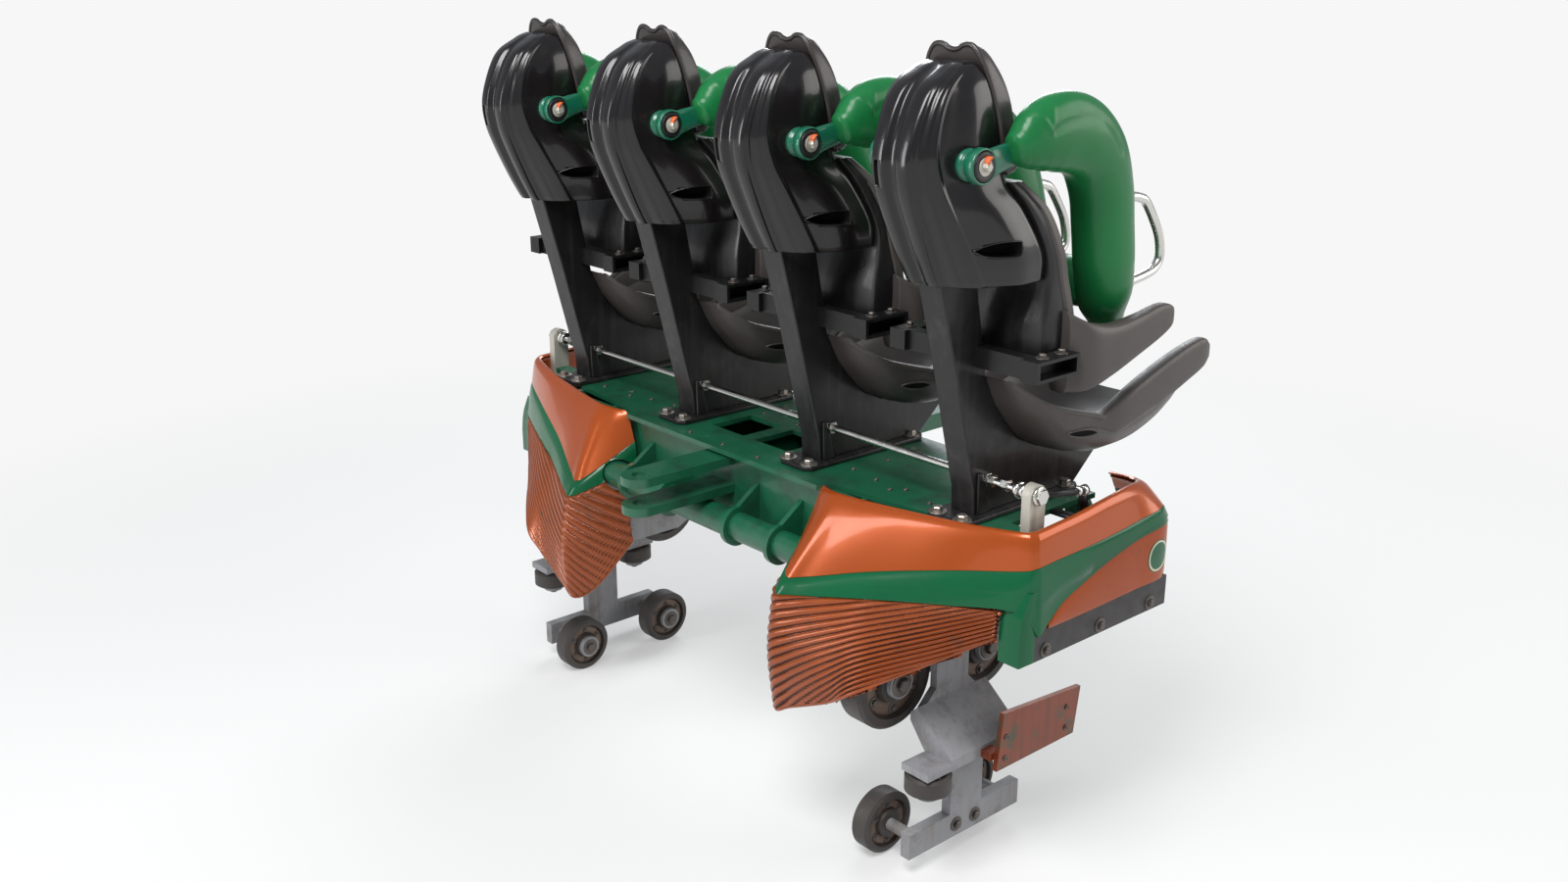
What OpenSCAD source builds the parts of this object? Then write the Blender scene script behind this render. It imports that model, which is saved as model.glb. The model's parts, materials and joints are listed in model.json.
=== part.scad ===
// One roller coaster car with a row of four floorless seats, on tandem wheel carriers.
// X points forward, Y to the left and Z up. The origin is on the floor under the car's
// centreline, midway between the two coupling pins. The car stands on its upstop wheels.

/* [Car] */
// Distance between the front and rear coupling pins, which is the distance from row to row
row_pitch = 1700; // [1500:10:2000]
// Distance from the rear coupling pin forward to the rear bolts of the seat posts
rear_pin_back = 330; // [300:5:400]
// Distance between neighbouring seats
seat_pitch = 549; // [545:1:570]
// Clearance between curved faces that move or touch
running_gap = 0.3; // [0.2:0.1:1]
// Joint between neighbouring mouldings of the fairing
joint_gap = 1; // [0.5:0.5:3]

/* [Chassis] */
// Height of the deck above the road wheels' axle line
deck_over_axle = 435; // [400:5:500]
// Thickness of the deck plate
deck_t = 14; // [8:1:20]
// Deck length behind the rear bolts of the posts
deck_back = 70; // [60:1:110]
// Deck length in front of the rear bolts of the posts
deck_front = 430; // [400:5:500]
// Distance from the fairing's outer face in to the edge of the deck
deck_inset = 160; // [150:5:180]
// Distance from a coupling's middle up to the deck's top
coupling_drop = 74; // [70:1:80]
// Length of the two openings in the deck, fore and aft
hatch_l = 145; // [100:5:180]
// Width of the two openings in the deck
hatch_w = 140; // [100:5:160]
// Depth of the box beam under the deck
beam_h = 210; // [150:5:260]
// Length of the box beam, fore and aft
beam_len = 340; // [260:5:380]
// Wall of the box beam and its webs
beam_wall = 12; // [8:1:20]
// How far the box beam passes the middle of each rail
beam_over_rail = 60; // [50:1:70]
// Diameter of the cross tube behind the beam
tube_d = 80; // [60:1:84]
// Thickness of the gussets that hold the cross tube
gusset_t = 16; // [10:1:20]
// Length of the cross tube
tube_l = 1240; // [1100:10:1300]
// Bore of the coupling eyes
pin_d = 40; // [25:1:50]
// Thickness of the front coupling tongue
tongue_t = 50; // [30:1:60]
// Free gap on each side of the tongue inside a rear coupling
coupling_gap = 4; // [2:1:10]
// Thickness of each ear of the rear coupling
ear_t = 24; // [15:1:35]
// Radius of the coupling eyes round their bores
eye_r = 50; // [45:1:60]
// Width of the drawbar where it leaves the beam
drawbar_w = 160; // [120:5:220]

/* [Seat post] */
// Width of a seat post
post_w = 75; // [60:1:90]
// Thickness of the base flange
flange_t = 14; // [10:1:20]
// Width of the base flange
flange_w = 128; // [120:2:140]
// Diameter of the bolt holes in the flange
flange_bolt_d = 18; // [12:1:22]
// Distance from the rear bolts of a flange to its front bolts
flange_bolt_x = 390; // [370:5:400]
// Diameter of the tie rods between the posts
tie_d = 20; // [14:1:28]
// Width of the link bars at the ends of the tie rods
link_w = 28; // [20:1:36]
// Distance of the link bars outside the outermost seats
link_out = 190; // [180:1:200]

/* [Seat] */
// Half width of the shell at the harness pivots
pivot_half_w = 121; // [118:1:126]
// Height of the harness pivots above the deck
pivot_z = 876; // [860:1:890]
// Distance of the harness pivots behind the rear bolts of the posts
pivot_back = 104; // [95:1:115]
// Radius of the pivot stubs on the shell's sides
pivot_r = 30; // [26:1:30]
// Wall of the seat pan
pan_wall = 22; // [14:1:26]
// Length of the box channels beside the hips
bracket_l = 150; // [130:1:150]
// Height of the box channels beside the hips
bracket_h = 50; // [40:1:60]
// Wall of the box channels beside the hips
bracket_wall = 8; // [4:1:12]

/* [Harness] */
// Length of the sleeve between the shell's pivot and the boss
sleeve_l = 14; // [10:1:16]
// Radius of the pivot boss
boss_r = 40; // [38:1:46]
// Thickness of the pivot boss and its lug
arm_t = 22; // [18:1:26]
// Radius of the round pad low down between the chest tubes
belly_r = 62; // [50:1:66]
// Distance of the grab handles from the seat's middle
handle_y = 146; // [136:1:156]
// Diameter of the grab handle tube
handle_d = 24; // [18:1:30]

/* [Fairing] */
// Distance from the outer seats' middle out to the fairing's outer face
fairing_out = 266.5; // [260:0.5:275]
// Thickness of the fairing mouldings
skin_t = 14; // [8:1:20]
// Number of ribs on each ribbed rear panel
ribs = 13; // [8:1:16]
// How far a rib stands out from its panel
rib_depth = 7; // [4:1:10]
// Width of the tab below the green band, on the rear face
tab_w = 64; // [50:1:64]
// Length of the rub bars on the car's sides
bar_l = 540; // [500:5:560]
// Height of the rub bars
bar_h = 80; // [60:1:80]
// Thickness of the rub bars
bar_t = 16; // [10:1:20]

/* [Wheels] */
// Distance from the car's centreline to the rail centre
rail_y = 700; // [650:5:740]
// Diameter of the rail that the wheels clasp
rail_d = 200; // [160:5:240]
// Distance between the tandem road wheels of a carrier
wheel_base = 330; // [310:5:340]
// Distance of the carrier's middle in front of the rear bolts of the posts
carrier_x = 80; // [75:5:110]
// Radius of a road wheel
road_r = 130; // [115:1:135]
// Width of a road wheel
road_w = 90; // [60:1:100]
// Radius of an upstop wheel
upstop_r = 85; // [70:1:100]
// Width of an upstop wheel
upstop_w = 64; // [40:1:80]
// Radius of a guide wheel
guide_r = 60; // [50:1:66]
// Width of a guide wheel
guide_w = 56; // [40:1:60]
// Radius of the wheel axles
axle_r = 16; // [12:1:20]
// Radial clearance of a wheel on its axle
bearing_gap = 0.05; // [0.03:0.01:0.1]
// Thickness of the carriers' plates
frame_t = 22; // [16:1:26]
// Width of the arm that reaches down past the rail
hanger_w = 120; // [90:5:130]

/* [Hidden] */
SIDES = [-1, 1];
SEATS = [-1.5, -0.5, 0.5, 1.5];
ENDS = [-1, 1];
// Half widths and lengths
fairing_half_w = 1.5 * seat_pitch + fairing_out;
deck_half_w = fairing_half_w - deck_inset;
beam_half_l = rail_y + beam_over_rail;
post_x = -row_pitch / 2 + rear_pin_back;
carrier_mid = post_x + carrier_x;
rail_r = rail_d / 2;
guide_y = rail_y + rail_r + guide_r;
rear_pin_x = -row_pitch / 2;
front_pin_x = row_pitch / 2;
// Heights above the floor, from the upstop wheels up
upstop_z = upstop_r;
rail_z = upstop_z + upstop_r + rail_r;
guide_top = rail_z + guide_w / 2 + 4;
axle_z = rail_z + rail_r + road_r;
deck_z = axle_z + deck_over_axle;
beam_z = deck_z - deck_t - beam_h;
coupling_z = deck_z - coupling_drop;
// Places from the rear bolts of the posts and the deck's top
flange_bolt_y = flange_w / 2 - 24;
beam_back = 40;
tube_x = -114;
tube_z = -180;
tie_x = 79;
tie_z = 102;
link_y = 1.5 * seat_pitch + link_out;
bracket_x = 16;
bracket_y = 182;
bracket_z = 388;
// Inner faces of the pivot bosses and of the washers on them, from the seat's middle
arm_in = pivot_half_w + sleeve_l;
washer_y = arm_in + arm_t;
// Faces of the rub bars, and the lower edge of the tabs and of the bars
bar_y = fairing_half_w - 16;
tab_low = -286;
bar_low = -298;

function middle(ring) = [for (c = [0:2]) [for (p = ring) p[c]] * [for (p = ring) 1] / len(ring)];

function reversed(list) = [for (i = [len(list) - 1:-1:0]) list[i]];

// Twice the area of a ring, as a vector along its normal
function ring_normal(r, i = 0) = i == len(r) ? [0, 0, 0]
    : cross(r[i], r[(i + 1) % len(r)]) + ring_normal(r, i + 1);

// A closed solid through rings of equal point count, wound either way
module loft(given) {
    forward = ring_normal(given[0]) * (middle(given[1]) - middle(given[0])) > 0;
    rings = forward ? given : [for (r = given) reversed(r)];
    n = len(rings[0]);
    m = len(rings);
    sides = [for (i = [0:m - 2]) for (j = [0:n - 1])
        [i * n + j, (i + 1) * n + j, (i + 1) * n + (j + 1) % n, i * n + (j + 1) % n]];
    tris = [for (q = sides) for (t = [[q[0], q[1], q[2]], [q[0], q[2], q[3]]]) t];
    first = [for (j = [0:n - 1]) j];
    last = [for (j = [n - 1:-1:0]) (m - 1) * n + j];
    polyhedron([for (r = rings) for (p = r) p], concat(tris, [first, last]));
}

// The right half of an outline, mirrored in y to a closed anticlockwise ring at height z
function ring_z(half, z) = concat(
    [for (p = half) [p[0], p[1], z]],
    [for (i = [len(half) - 1:-1:0]) if (abs(half[i][1]) > 0.01) [half[i][0], -half[i][1], z]]);

// Direction of a path at point i
function along(p, i) = let (a = p[max(i - 1, 0)], b = p[min(i + 1, len(p) - 1)], d = b - a) d / norm(d);

// Places a child in each seat
module at_seats() for (s = SEATS) translate([post_x, s * seat_pitch, deck_z]) children();

// A plate whose outline lies in the XZ plane, centred on y
module side_plate(outline, t) rotate([90, 0, 0]) linear_extrude(t, center = true) polygon(outline);

function unit(v) = v / max(norm(v), 0.001);

// Lower pan sections: x, underside z, rim z, half width
PAN = [[70, 352, 362, 120], [105, 285, 328, 165], [145, 235, 306, 190], [200, 180, 288, 206],
    [270, 146, 268, 216], [340, 134, 250, 222], [430, 140, 262, 226], [520, 168, 290, 228],
    [590, 206, 318, 226]];

// Side outline of a leaning post above its flange, in X and Z: up the rear face, under the shell,
// down the front face, along the pan's underside and back to the flange
POST = concat([[44, 0], [40, 60], [-38, 370], [-98, 586], [22, 586], [60, 392]],
    [for (s = PAN) [s[0], s[1] - flange_t]], [[600, 150], [430, 0]]);

module seat_posts() color("#1d1c1e") at_seats() difference() {
    corner = 20;
    front = flange_bolt_x + 40;
    half = flange_w / 2;
    union() {
        translate([0, 0, flange_t]) side_plate(POST, post_w);
        linear_extrude(flange_t) polygon([[-26, corner - half], [-10, -half], [front - corner, -half],
            [front, corner - half], [front, half - corner], [front - corner, half], [-10, half],
            [-26, half - corner]]);
    }
    flange_bolts(flange_t);
    translate([tie_x, 0, tie_z]) rotate([90, 0, 0])
        cylinder(d = tie_d, h = post_w + 2, center = true, $fn = 32);
}

// The four bolt holes of a post, through a plate of thickness t
module flange_bolts(t) for (x = [0, flange_bolt_x], s = SIDES)
    translate([x, s * flange_bolt_y, -1]) cylinder(d = flange_bolt_d, h = t + 2, $fn = 32);

// A hexagonal nut across the tie rod, t thick, with its middle at y
module tie_nut(d, t, y) translate([0, y, 0]) rotate([90, 0, 0])
    cylinder(d = d, h = t, center = true, $fn = 6);

// Tie rods run through the posts low down and end in the link bars outside the outermost posts
module tie_rods() color("silver") translate([post_x + tie_x, 0, deck_z + tie_z]) {
    nut_t = 14;
    rotate([90, 0, 0]) cylinder(d = tie_d, h = 2 * link_y + link_w, center = true, $fn = 32);
    for (s = SIDES) tie_nut(38, 16, s * (link_y + link_w / 2 + 8));
    // Nuts on both sides of each post, and rod ends between the last posts and the links
    for (s = SEATS, e = ENDS) tie_nut(34, nut_t, s * seat_pitch + e * (post_w + nut_t) / 2);
    for (s = SIDES, y = [60, 105]) tie_nut(32, 18, s * (1.5 * seat_pitch + y));
}

// Upright link bars: rounded head round the tie rod, foot bolted flat against a lug of the deck
module link_bars() color("#b9b7ac") for (s = SIDES)
    translate([post_x + tie_x, s * link_y, deck_z]) rotate([90, 0, 0]) linear_extrude(link_w, center = true)
        difference() {
            union() {
                translate([0, tie_z]) circle(r = 27, $fn = 48);
                translate([-27, -60]) square([54, 60 + tie_z]);
            }
            translate([0, tie_z]) circle(d = tie_d + 2 * running_gap, $fn = 32);
        }

// Shell sections: height, rear x, front x, half width at the rear ridges, half width at the front
SHELL = [[600, -126, 118, 46, 158], [673, -165, 100, 50, 168], [767, -208, 52, 54, 150],
    [831, -230, 12, 56, 124], [900, -234, -2, 58, 117], [987, -204, -20, 60, 112],
    [1040, -165, -31, 58, 100], [1085, -105, -40, 46, 74]];

// Half a section from its front edge round the flank to the rear ridge and the groove between the
// two ridges
function shell_ring(s) = let (z = s[0], xr = s[1], xf = s[2], wr = s[3], wf = s[4], d = xf - xr) ring_z([
    [xf, wf * 0.9], [xf - d * 0.08, wf], [xf - d * 0.35, wf * 0.99], [xr + d * 0.4, wr + (wf - wr) * 0.72],
    [xr + d * 0.2, wr + (wf - wr) * 0.4 + 6], [xr + d * 0.07, wr + 5], [xr, wr - 6], [xr, wr - 30],
    [xr + 16, wr - 36]], z);

module seat_shells() color("#1a181b") at_seats() difference() {
    slot_l = 92;
    slot_h = 24;
    union() {
        loft([for (s = SHELL) shell_ring(s)]);
        translate([-pivot_back, 0, pivot_z]) rotate([90, 0, 0])
            cylinder(r = pivot_r, h = 2 * pivot_half_w, center = true, $fn = 32);
    }
    // Slots in the shell's sides, above its lower edge
    for (s = SIDES) translate([-24, s * 150, 686]) rotate([0, 6, 0])
        cube([slot_l, 90, slot_h], center = true);
}

// Headrest sections from side to side: y, lower z, upper z, thickness. Its back lies on the shell's
// straight upper front, its wings stand out round the rider's head, and its crown has two humps.
HEAD = [[0, 831, 1096, 20], [16, 831, 1100, 22], [30, 831, 1118, 26], [44, 831, 1127, 30],
    [60, 832, 1122, 36], [78, 833, 1100, 44], [94, 836, 1062, 52], [106, 842, 1015, 54],
    [115, 856, 965, 46], [119, 876, 920, 26]];

// Front of the shell at a height, along the straight line from its fourth section to its last
function head_x(z) = let (a = SHELL[3], b = SHELL[7])
    a[2] + running_gap + (z - a[0]) * (b[2] - a[2]) / (b[0] - a[0]);

function head_ring(s, side) = let (z0 = s[1], z1 = s[2], t = s[3])
    [for (p = [[0, z0], [t * 0.6, z0 + 3], [t * 0.92, z0 + 10], [t, z0 + (z1 - z0) * 0.35],
        [t, z0 + (z1 - z0) * 0.75], [t * 0.9, z1 - 8], [t * 0.5, z1]])
        [head_x(p[1]) + p[0], side * s[0], p[1]]];

module headrests() color("#2c2928") at_seats()
    loft(concat([for (i = [len(HEAD) - 1:-1:1]) head_ring(HEAD[i], -1)], [for (h = HEAD) head_ring(h, 1)]));

// Seat back moulding sections: height, rear x, front x at the middle, front x at the edge, half width
BACK = [[400, 100, 185, 225, 178], [500, 100, 165, 215, 180], [600, 118.3, 160, 190, 176],
    [673, 100.3, 135, 165, 178], [767, 52.3, 95, 118, 165], [829, 14.3, 62, 60, 135]];

function back_ring(s) = let (z = s[0], xr = s[1], xm = s[2], xe = s[3], w = s[4]) ring_z([
    [xm, w * 0.45], [(xm + xe) / 2, w * 0.65], [xe, w * 0.8], [xe - 6, w * 0.95],
    [xr + 20, w], [xr, w * 0.9]], z);

// Hip wing sections: x, lower z, upper z, inner y, outer y
WING = [[166, 330, 528, 140, 200], [213, 335, 500, 165, 236], [290, 361, 484, 190, 244],
    [376, 393, 493, 204, 246], [464, 425, 508, 210, 246], [505, 446, 500, 214, 244],
    [517, 462, 482, 220, 238]];

// Section of a bar that runs along x, with chamfered edges
function bar_ring(s, side) = let (x = s[0], z0 = s[1], z1 = s[2], y0 = s[3], y1 = s[4],
    c = min(10, (z1 - z0) / 4))
    [for (p = [[y0 + c, z0], [y1 - c, z0], [y1, z0 + c], [y1, z1 - c], [y1 - c, z1], [y0 + c, z1],
        [y0, z1 - c], [y0, z0 + c]]) [x, side * p[0], p[1]]];

module seat_backs() color("#5e5955") at_seats() union() {
    loft([for (s = BACK) back_ring(s)]);
    for (side = SIDES) loft([for (s = WING) bar_ring(s, side)]);
}

// Bowl section: its floor and inner sides, its rims, and its outside back round the bottom
function pan_ring(s) = let (x = s[0], zb = s[1], zt = s[2], w = s[3], zi = min(zt - 4, zb + pan_wall),
    inside = [[w * 0.5, zi + (zt - zi) * 0.12], [w * 0.8, zi + (zt - zi) * 0.5], [w - pan_wall, zt]],
    outside = [[w, zt], [w * 0.95, zb + (zt - zb) * 0.5], [w * 0.7, zb + (zt - zb) * 0.15], [w * 0.35, zb]],
    half = concat(inside, outside))
    [for (p = concat([[0, zi]], half, [for (q = reversed(half)) [-q[0], q[1]]])) [x, p[0], p[1]]];

// Thigh wing sections, read like the hip wings' ones
THIGH = [[290, 226, 262, 188, 222], [340, 210, 286, 192, 232], [400, 225, 318, 196, 238],
    [512, 258, 359, 200, 242], [600, 290, 384, 204, 243], [660, 314, 392, 208, 243],
    [686, 334, 376, 214, 238]];

module seat_pans() color("#4c4744") at_seats() union() {
    loft([for (s = PAN) pan_ring(s)]);
    for (side = SIDES) loft([for (s = THIGH) bar_ring(s, side)]);
}

// Brackets: a box channel beside each hip, open outward, and a plate that ties it to the post
module seat_brackets() color("#151416") at_seats() for (s = SIDES) scale([1, s, 1]) {
    channel_w = 50;
    difference() {
        translate([bracket_x, bracket_y, bracket_z]) cube([bracket_l, channel_w, bracket_h]);
        translate([bracket_x + bracket_wall + 2, bracket_y + bracket_wall, bracket_z + bracket_wall])
            cube([bracket_l - 2 * bracket_wall - 4, channel_w, bracket_h - 2 * bracket_wall]);
    }
    translate([bracket_x + 14, post_w / 2, bracket_z]) cube([36, bracket_y - post_w / 2, bracket_h]);
}

// Harness tube path on one side: x, y, z, half width, half thickness
HARNESS = [[-14, 165, 896, 24, 24], [6, 168, 902, 38, 48], [40, 171, 912, 44, 68],
    [90, 173, 922, 46, 80], [150, 170, 922, 50, 86], [215, 162, 905, 60, 86], [280, 150, 860, 66, 84],
    [326, 140, 785, 66, 80], [352, 132, 695, 66, 78], [374, 126, 600, 66, 76], [398, 116, 520, 62, 68],
    [420, 106, 466, 46, 44]];

// Superelliptic section of n points, square to the path, a little flatter than a circle
function harness_ring(i, side, n = 14) = let (p = [for (h = HARNESS) [h[0], 0, h[2]]], t = along(p, i),
    h = HARNESS[i], power = 2.6)
    [for (k = [0:n - 1]) let (a = k * 360 / n, c = cos(a), d = sin(a),
        g = pow(pow(abs(c), power) + pow(abs(d), power), -1 / power))
        [h[0] - h[4] * c * g * t[2], side * h[1] + h[3] * d * g, h[2] + h[4] * c * g * t[0]]];

// Places a restraint's piece in its seat
module in_seat(seat) translate([post_x, SEATS[seat - 1] * seat_pitch, deck_z]) children();

module harness(seat) color("#1f6e3b") in_seat(seat) union() {
    harness_tubes();
    translate([385, 0, 545]) rotate([90, 0, 0]) cylinder(r = belly_r, h = 160, center = true, $fn = 32);
}

module harness_1() harness(1);
module harness_2() harness(2);
module harness_3() harness(3);
module harness_4() harness(4);

module harness_tubes() for (s = SIDES) loft([for (i = [0:len(HARNESS) - 1]) harness_ring(i, s)]);

// Outline of the lug from the pivot boss into the tube, in X forward and Z down from the pivot
LUG = [[2, 39], [24, 32], [118, 6], [118, -46], [92, -48], [-10, -38.5]];

// Pivot arms: a sleeve beside the shell, a flanged boss with its washer and bolt, and the lug
module arms(seat) color("#0f5c35") in_seat(seat) difference() {
    washer_t = 5;
    for (s = SIDES) translate([-pivot_back, 0, pivot_z]) scale([1, s, 1]) rotate([-90, 0, 0]) {
        translate([0, 0, pivot_half_w + running_gap])
            cylinder(r = pivot_r + 1, h = sleeve_l - running_gap, $fn = 48);
        translate([0, 0, arm_in]) cylinder(r = boss_r, h = arm_t, $fn = 64);
        translate([0, 0, washer_y]) cylinder(r = boss_r - 8, h = washer_t, $fn = 64);
        translate([0, 0, washer_y + washer_t]) cylinder(r = 15, h = 13, $fn = 6);
        translate([0, 0, arm_in]) linear_extrude(arm_t) polygon(LUG);
    }
    harness_tubes();
}

module arms_1() arms(1);
module arms_2() arms(2);
module arms_3() arms(3);
module arms_4() arms(4);

// Grab handle route in front of each chest tube: x and z, out of the tube and back into it
HANDLE = [[370, 764], [420, 760], [470, 752], [500, 736], [548, 672], [566, 632], [570, 596],
    [556, 574], [530, 562], [470, 552], [400, 548]];

function handle_ring(i, n = 8) = let (p = [for (h = HANDLE) [h[0], 0, h[1]]], t = along(p, i),
    r = handle_d / 2)
    [for (k = [0:n - 1]) let (a = (k + 0.5) * 360 / n)
        p[i] + [-t[2] * r * cos(a), r * sin(a), t[0] * r * cos(a)]];

module handles(seat) color("#b8bcc2") in_seat(seat) difference() {
    for (s = SIDES) translate([0, s * handle_y, 0]) loft([for (i = [0:len(HANDLE) - 1]) handle_ring(i)]);
    harness_tubes();
}

module handles_1() handles(1);
module handles_2() handles(2);
module handles_3() handles(3);
module handles_4() handles(4);

// The deck's rear edge on one side, in x and the distance inward from the fairing's outer face: it
// steps forward in front of the fairing's rim
DECK_EDGE = [[-deck_back, 670], [-30, 638], [-16, 490], [-2, 350], [4, 230], [14, deck_inset]];

module deck() color("#1f6e46") translate([post_x, 0, deck_z - deck_t]) difference() {
    // On the sides, lugs reach out to the feet of the link bars
    lug = [[tie_x - 24, deck_half_w], [tie_x - 24, link_y - link_w / 2], [tie_x + 24, link_y - link_w / 2],
        [tie_x + 24, deck_half_w]];
    half = concat([for (p = DECK_EDGE) [p[0], fairing_half_w - p[1]]], lug, [[deck_front, deck_half_w]]);
    linear_extrude(deck_t) polygon(concat(half, [for (p = reversed(half)) [p[0], -p[1]]]));
    for (seat = SEATS) translate([0, seat * seat_pitch, 0]) flange_bolts(deck_t);
    // Openings on both sides of the centreline
    for (s = SIDES) translate([55, s * 95 - hatch_w / 2, -1]) cube([hatch_l, hatch_w, deck_t + 2]);
}

module chassis_beam() color("#1f6e46") translate([post_x - beam_back, 0, beam_z]) {
    inner_l = beam_len - 2 * beam_wall;
    difference() {
        translate([0, -beam_half_l, 0]) cube([beam_len, 2 * beam_half_l, beam_h]);
        translate([beam_wall, -beam_half_l + beam_wall, beam_wall])
            cube([inner_l, 2 * (beam_half_l - beam_wall), beam_h]);
    }
    // Webs across the beam, one under each inner seat and one between seats
    for (k = [-2:2]) translate([beam_wall, k * seat_pitch / 2 - beam_wall / 2, beam_wall])
        cube([inner_l, beam_wall, beam_h - beam_wall]);
    // Gussets behind the beam, which hold the cross tube between the fairings
    for (y = [150, 330], s = SIDES) translate([beam_back, s * y, deck_z - beam_z]) tube_gusset();
}

// A gusset from the beam's rear wall round the cross tube, in x and z from the posts' rear bolts
module tube_gusset() rotate([90, 0, 0]) linear_extrude(gusset_t, center = true) difference() {
    r = tube_d / 2 + 16;
    wall_x = beam_wall / 2 - beam_back;
    union() {
        translate([tube_x, tube_z]) circle(r = r, $fn = 48);
        polygon([[tube_x, tube_z + r], [wall_x, tube_z + 2 * r], [wall_x, -deck_t - beam_h],
            [tube_x, tube_z - r]]);
    }
    translate([tube_x, tube_z]) circle(d = tube_d + 2 * running_gap, $fn = 48);
}

module cross_tube() color("#1f6e46") translate([post_x + tube_x, 0, deck_z + tube_z]) rotate([90, 0, 0])
    cylinder(d = tube_d, h = tube_l, center = true, $fn = 48);

// Tongue in front of the beam, with its eye for the coupling pin
module drawbar() color("#1f6e46") translate([0, 0, coupling_z - tongue_t / 2]) difference() {
    tongue_l = 170;
    beam_front = post_x - beam_back + beam_len;
    union() {
        translate([beam_front, -drawbar_w / 2, 0])
            cube([front_pin_x - tongue_l + 10 - beam_front, drawbar_w, tongue_t]);
        translate([front_pin_x - tongue_l, -eye_r, 0]) cube([tongue_l, 2 * eye_r, tongue_t]);
        translate([front_pin_x, 0, 0]) cylinder(r = eye_r, h = tongue_t, $fn = 64);
    }
    translate([front_pin_x, 0, -1]) cylinder(d = pin_d, h = tongue_t + 2, $fn = 64);
}

// Two ears behind the beam, above the cross tube
module rear_coupling() color("#1f6e46") {
    ear_off = tongue_t / 2 + coupling_gap;
    for (z = [coupling_z + ear_off, coupling_z - ear_off - ear_t]) difference() {
        union() {
            translate([rear_pin_x, 0, z]) cylinder(r = eye_r, h = ear_t, $fn = 64);
            translate([rear_pin_x, -eye_r, z]) cube([post_x - beam_back - rear_pin_x, 2 * eye_r, ear_t]);
        }
        translate([rear_pin_x, 0, z - 1]) cylinder(d = pin_d, h = ear_t + 2, $fn = 64);
    }
}

// Draws a right-hand child and its mirror image on the left
module both_sides() {
    children();
    mirror([0, 1, 0]) children();
}

// Normal of a grid of points at one of them, towards the back of the skin. Along the top and the
// bottom edge it lies level, so that the skin above or below meets it with a level joint.
function grid_normal(g, i, j) = let (
    m = len(g) - 1, k = len(g[0]) - 1,
    u = g[min(i + 1, m)][j] - g[max(i - 1, 0)][j],
    v = g[i][min(j + 1, k)] - g[i][max(j - 1, 0)],
    n = cross(u, v)) unit(j == 0 || j == k ? [n[0], n[1], 0] : n);

// A moulded skin through a grid of points, from lift in front of its face to t behind it. Rows run
// from the inner end of the car round to its front, and each row runs from its top to its bottom.
module skin(g, t, lift = 0) {
    m = len(g);
    k = len(g[0]);
    back = [for (i = [0:m - 1]) for (j = [0:k - 1]) g[i][j] + t * grid_normal(g, i, j)];
    front = [for (i = [0:m - 1]) for (j = [0:k - 1]) g[i][j] - lift * grid_normal(g, i, j)];
    off = m * k;
    function quad(a, b, c, d) = [[a, b, c], [a, c, d]];
    face_back = [for (i = [0:m - 2]) for (j = [0:k - 2]) for (f = quad(i * k + j, i * k + j + 1,
        (i + 1) * k + j + 1, (i + 1) * k + j)) f];
    face_front = [for (f = face_back) [f[0] + off, f[2] + off, f[1] + off]];
    top = [for (i = [0:m - 2]) for (f = quad(i * k, (i + 1) * k, (i + 1) * k + off, i * k + off)) f];
    low = [for (i = [1:m - 1]) for (f = quad(i * k - 1, i * k - 1 + off, (i + 1) * k - 1 + off,
        (i + 1) * k - 1)) f];
    start = [for (j = [0:k - 2]) for (f = quad(j + 1, j, j + off, j + 1 + off)) f];
    e = (m - 1) * k;
    end = [for (j = [0:k - 2]) for (f = quad(e + j, e + j + 1, e + j + 1 + off, e + j + off)) f];
    polyhedron(concat(back, front), concat(face_back, face_front, top, low, start, end));
}

// Fairing stations on the right side, from the inner end by the deck round the rear corner and
// the outer crease to the front. Each point gives x from the rear bolts, the distance inward from
// the fairing's outer face, and z from the deck: at the rim, at the cap's lower edge and at the
// lower edge of the green band.
FAIRING = [
    [[-62, 650, 4], [-58, 688, -85], [-60, 700, -160]],
    [[-84, 610, 9], [-150, 655, -145], [-165, 668, -198]],
    [[-92, 561, 12], [-221, 618, -191], [-250, 626, -231]],
    [[-80, 480, 13], [-205, 560, -183], [-238, 566, -226]],
    [[-55, 330, 18], [-135, 390, -134], [-165, 388, -198]],
    [[-26, 180, 24], [-66, 190, -86], [-95, 190, -168]],
    [[10, 52, 31], [-6, 34, -56], [-26, 26, -152]],
    [[34, 26, 34], [22, 4, -47], [24, -6, -222]],
    [[90, 24, 37], [90, 4, -44], [103, -4, -160]],
    [[190, 26, 42], [190, 5, -42], [193, -2, -127]],
    [[300, 32, 50], [300, 8, -38], [302, 2, -98]],
    [[410, 46, 52], [415, 12, -30], [417, 6, -78]],
    [[490, 70, 42], [520, 20, -24], [537, 12, -68]],
    [[526, 110, 32], [562, 66, -24], [576, 60, -67]],
    [[532, 190, 26], [568, 190, -24], [580, 190, -67]]];

function at_side(p) = [p[0], -fairing_half_w + p[1], p[2]];

// Direction in plan from one point of a station out to the next
function outward(a, b) = unit([b[0] - a[0], b[1] - a[1], 0]);

// Rim, rounded shoulder and face of the cap at a station
function cap_row(s) = let (a = at_side(s[0]), b = at_side(s[1]), out = outward(a, b))
    [a - 12 * out - [0, 0, 4], a, a + (b - a) * 0.12 + 7 * out + [0, 0, 1], a + (b - a) * 0.55 + 4 * out, b];

module fairing_caps() color("#c4612c") both_sides() translate([post_x, 0, deck_z])
    skin([for (s = FAIRING) cap_row(s)], skin_t);

function band_row(s) = let (a = at_side(s[1]) - [0, 0, joint_gap], b = at_side(s[2]))
    [a, (a + b) / 2 + 3 * outward(a, b), b];

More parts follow.
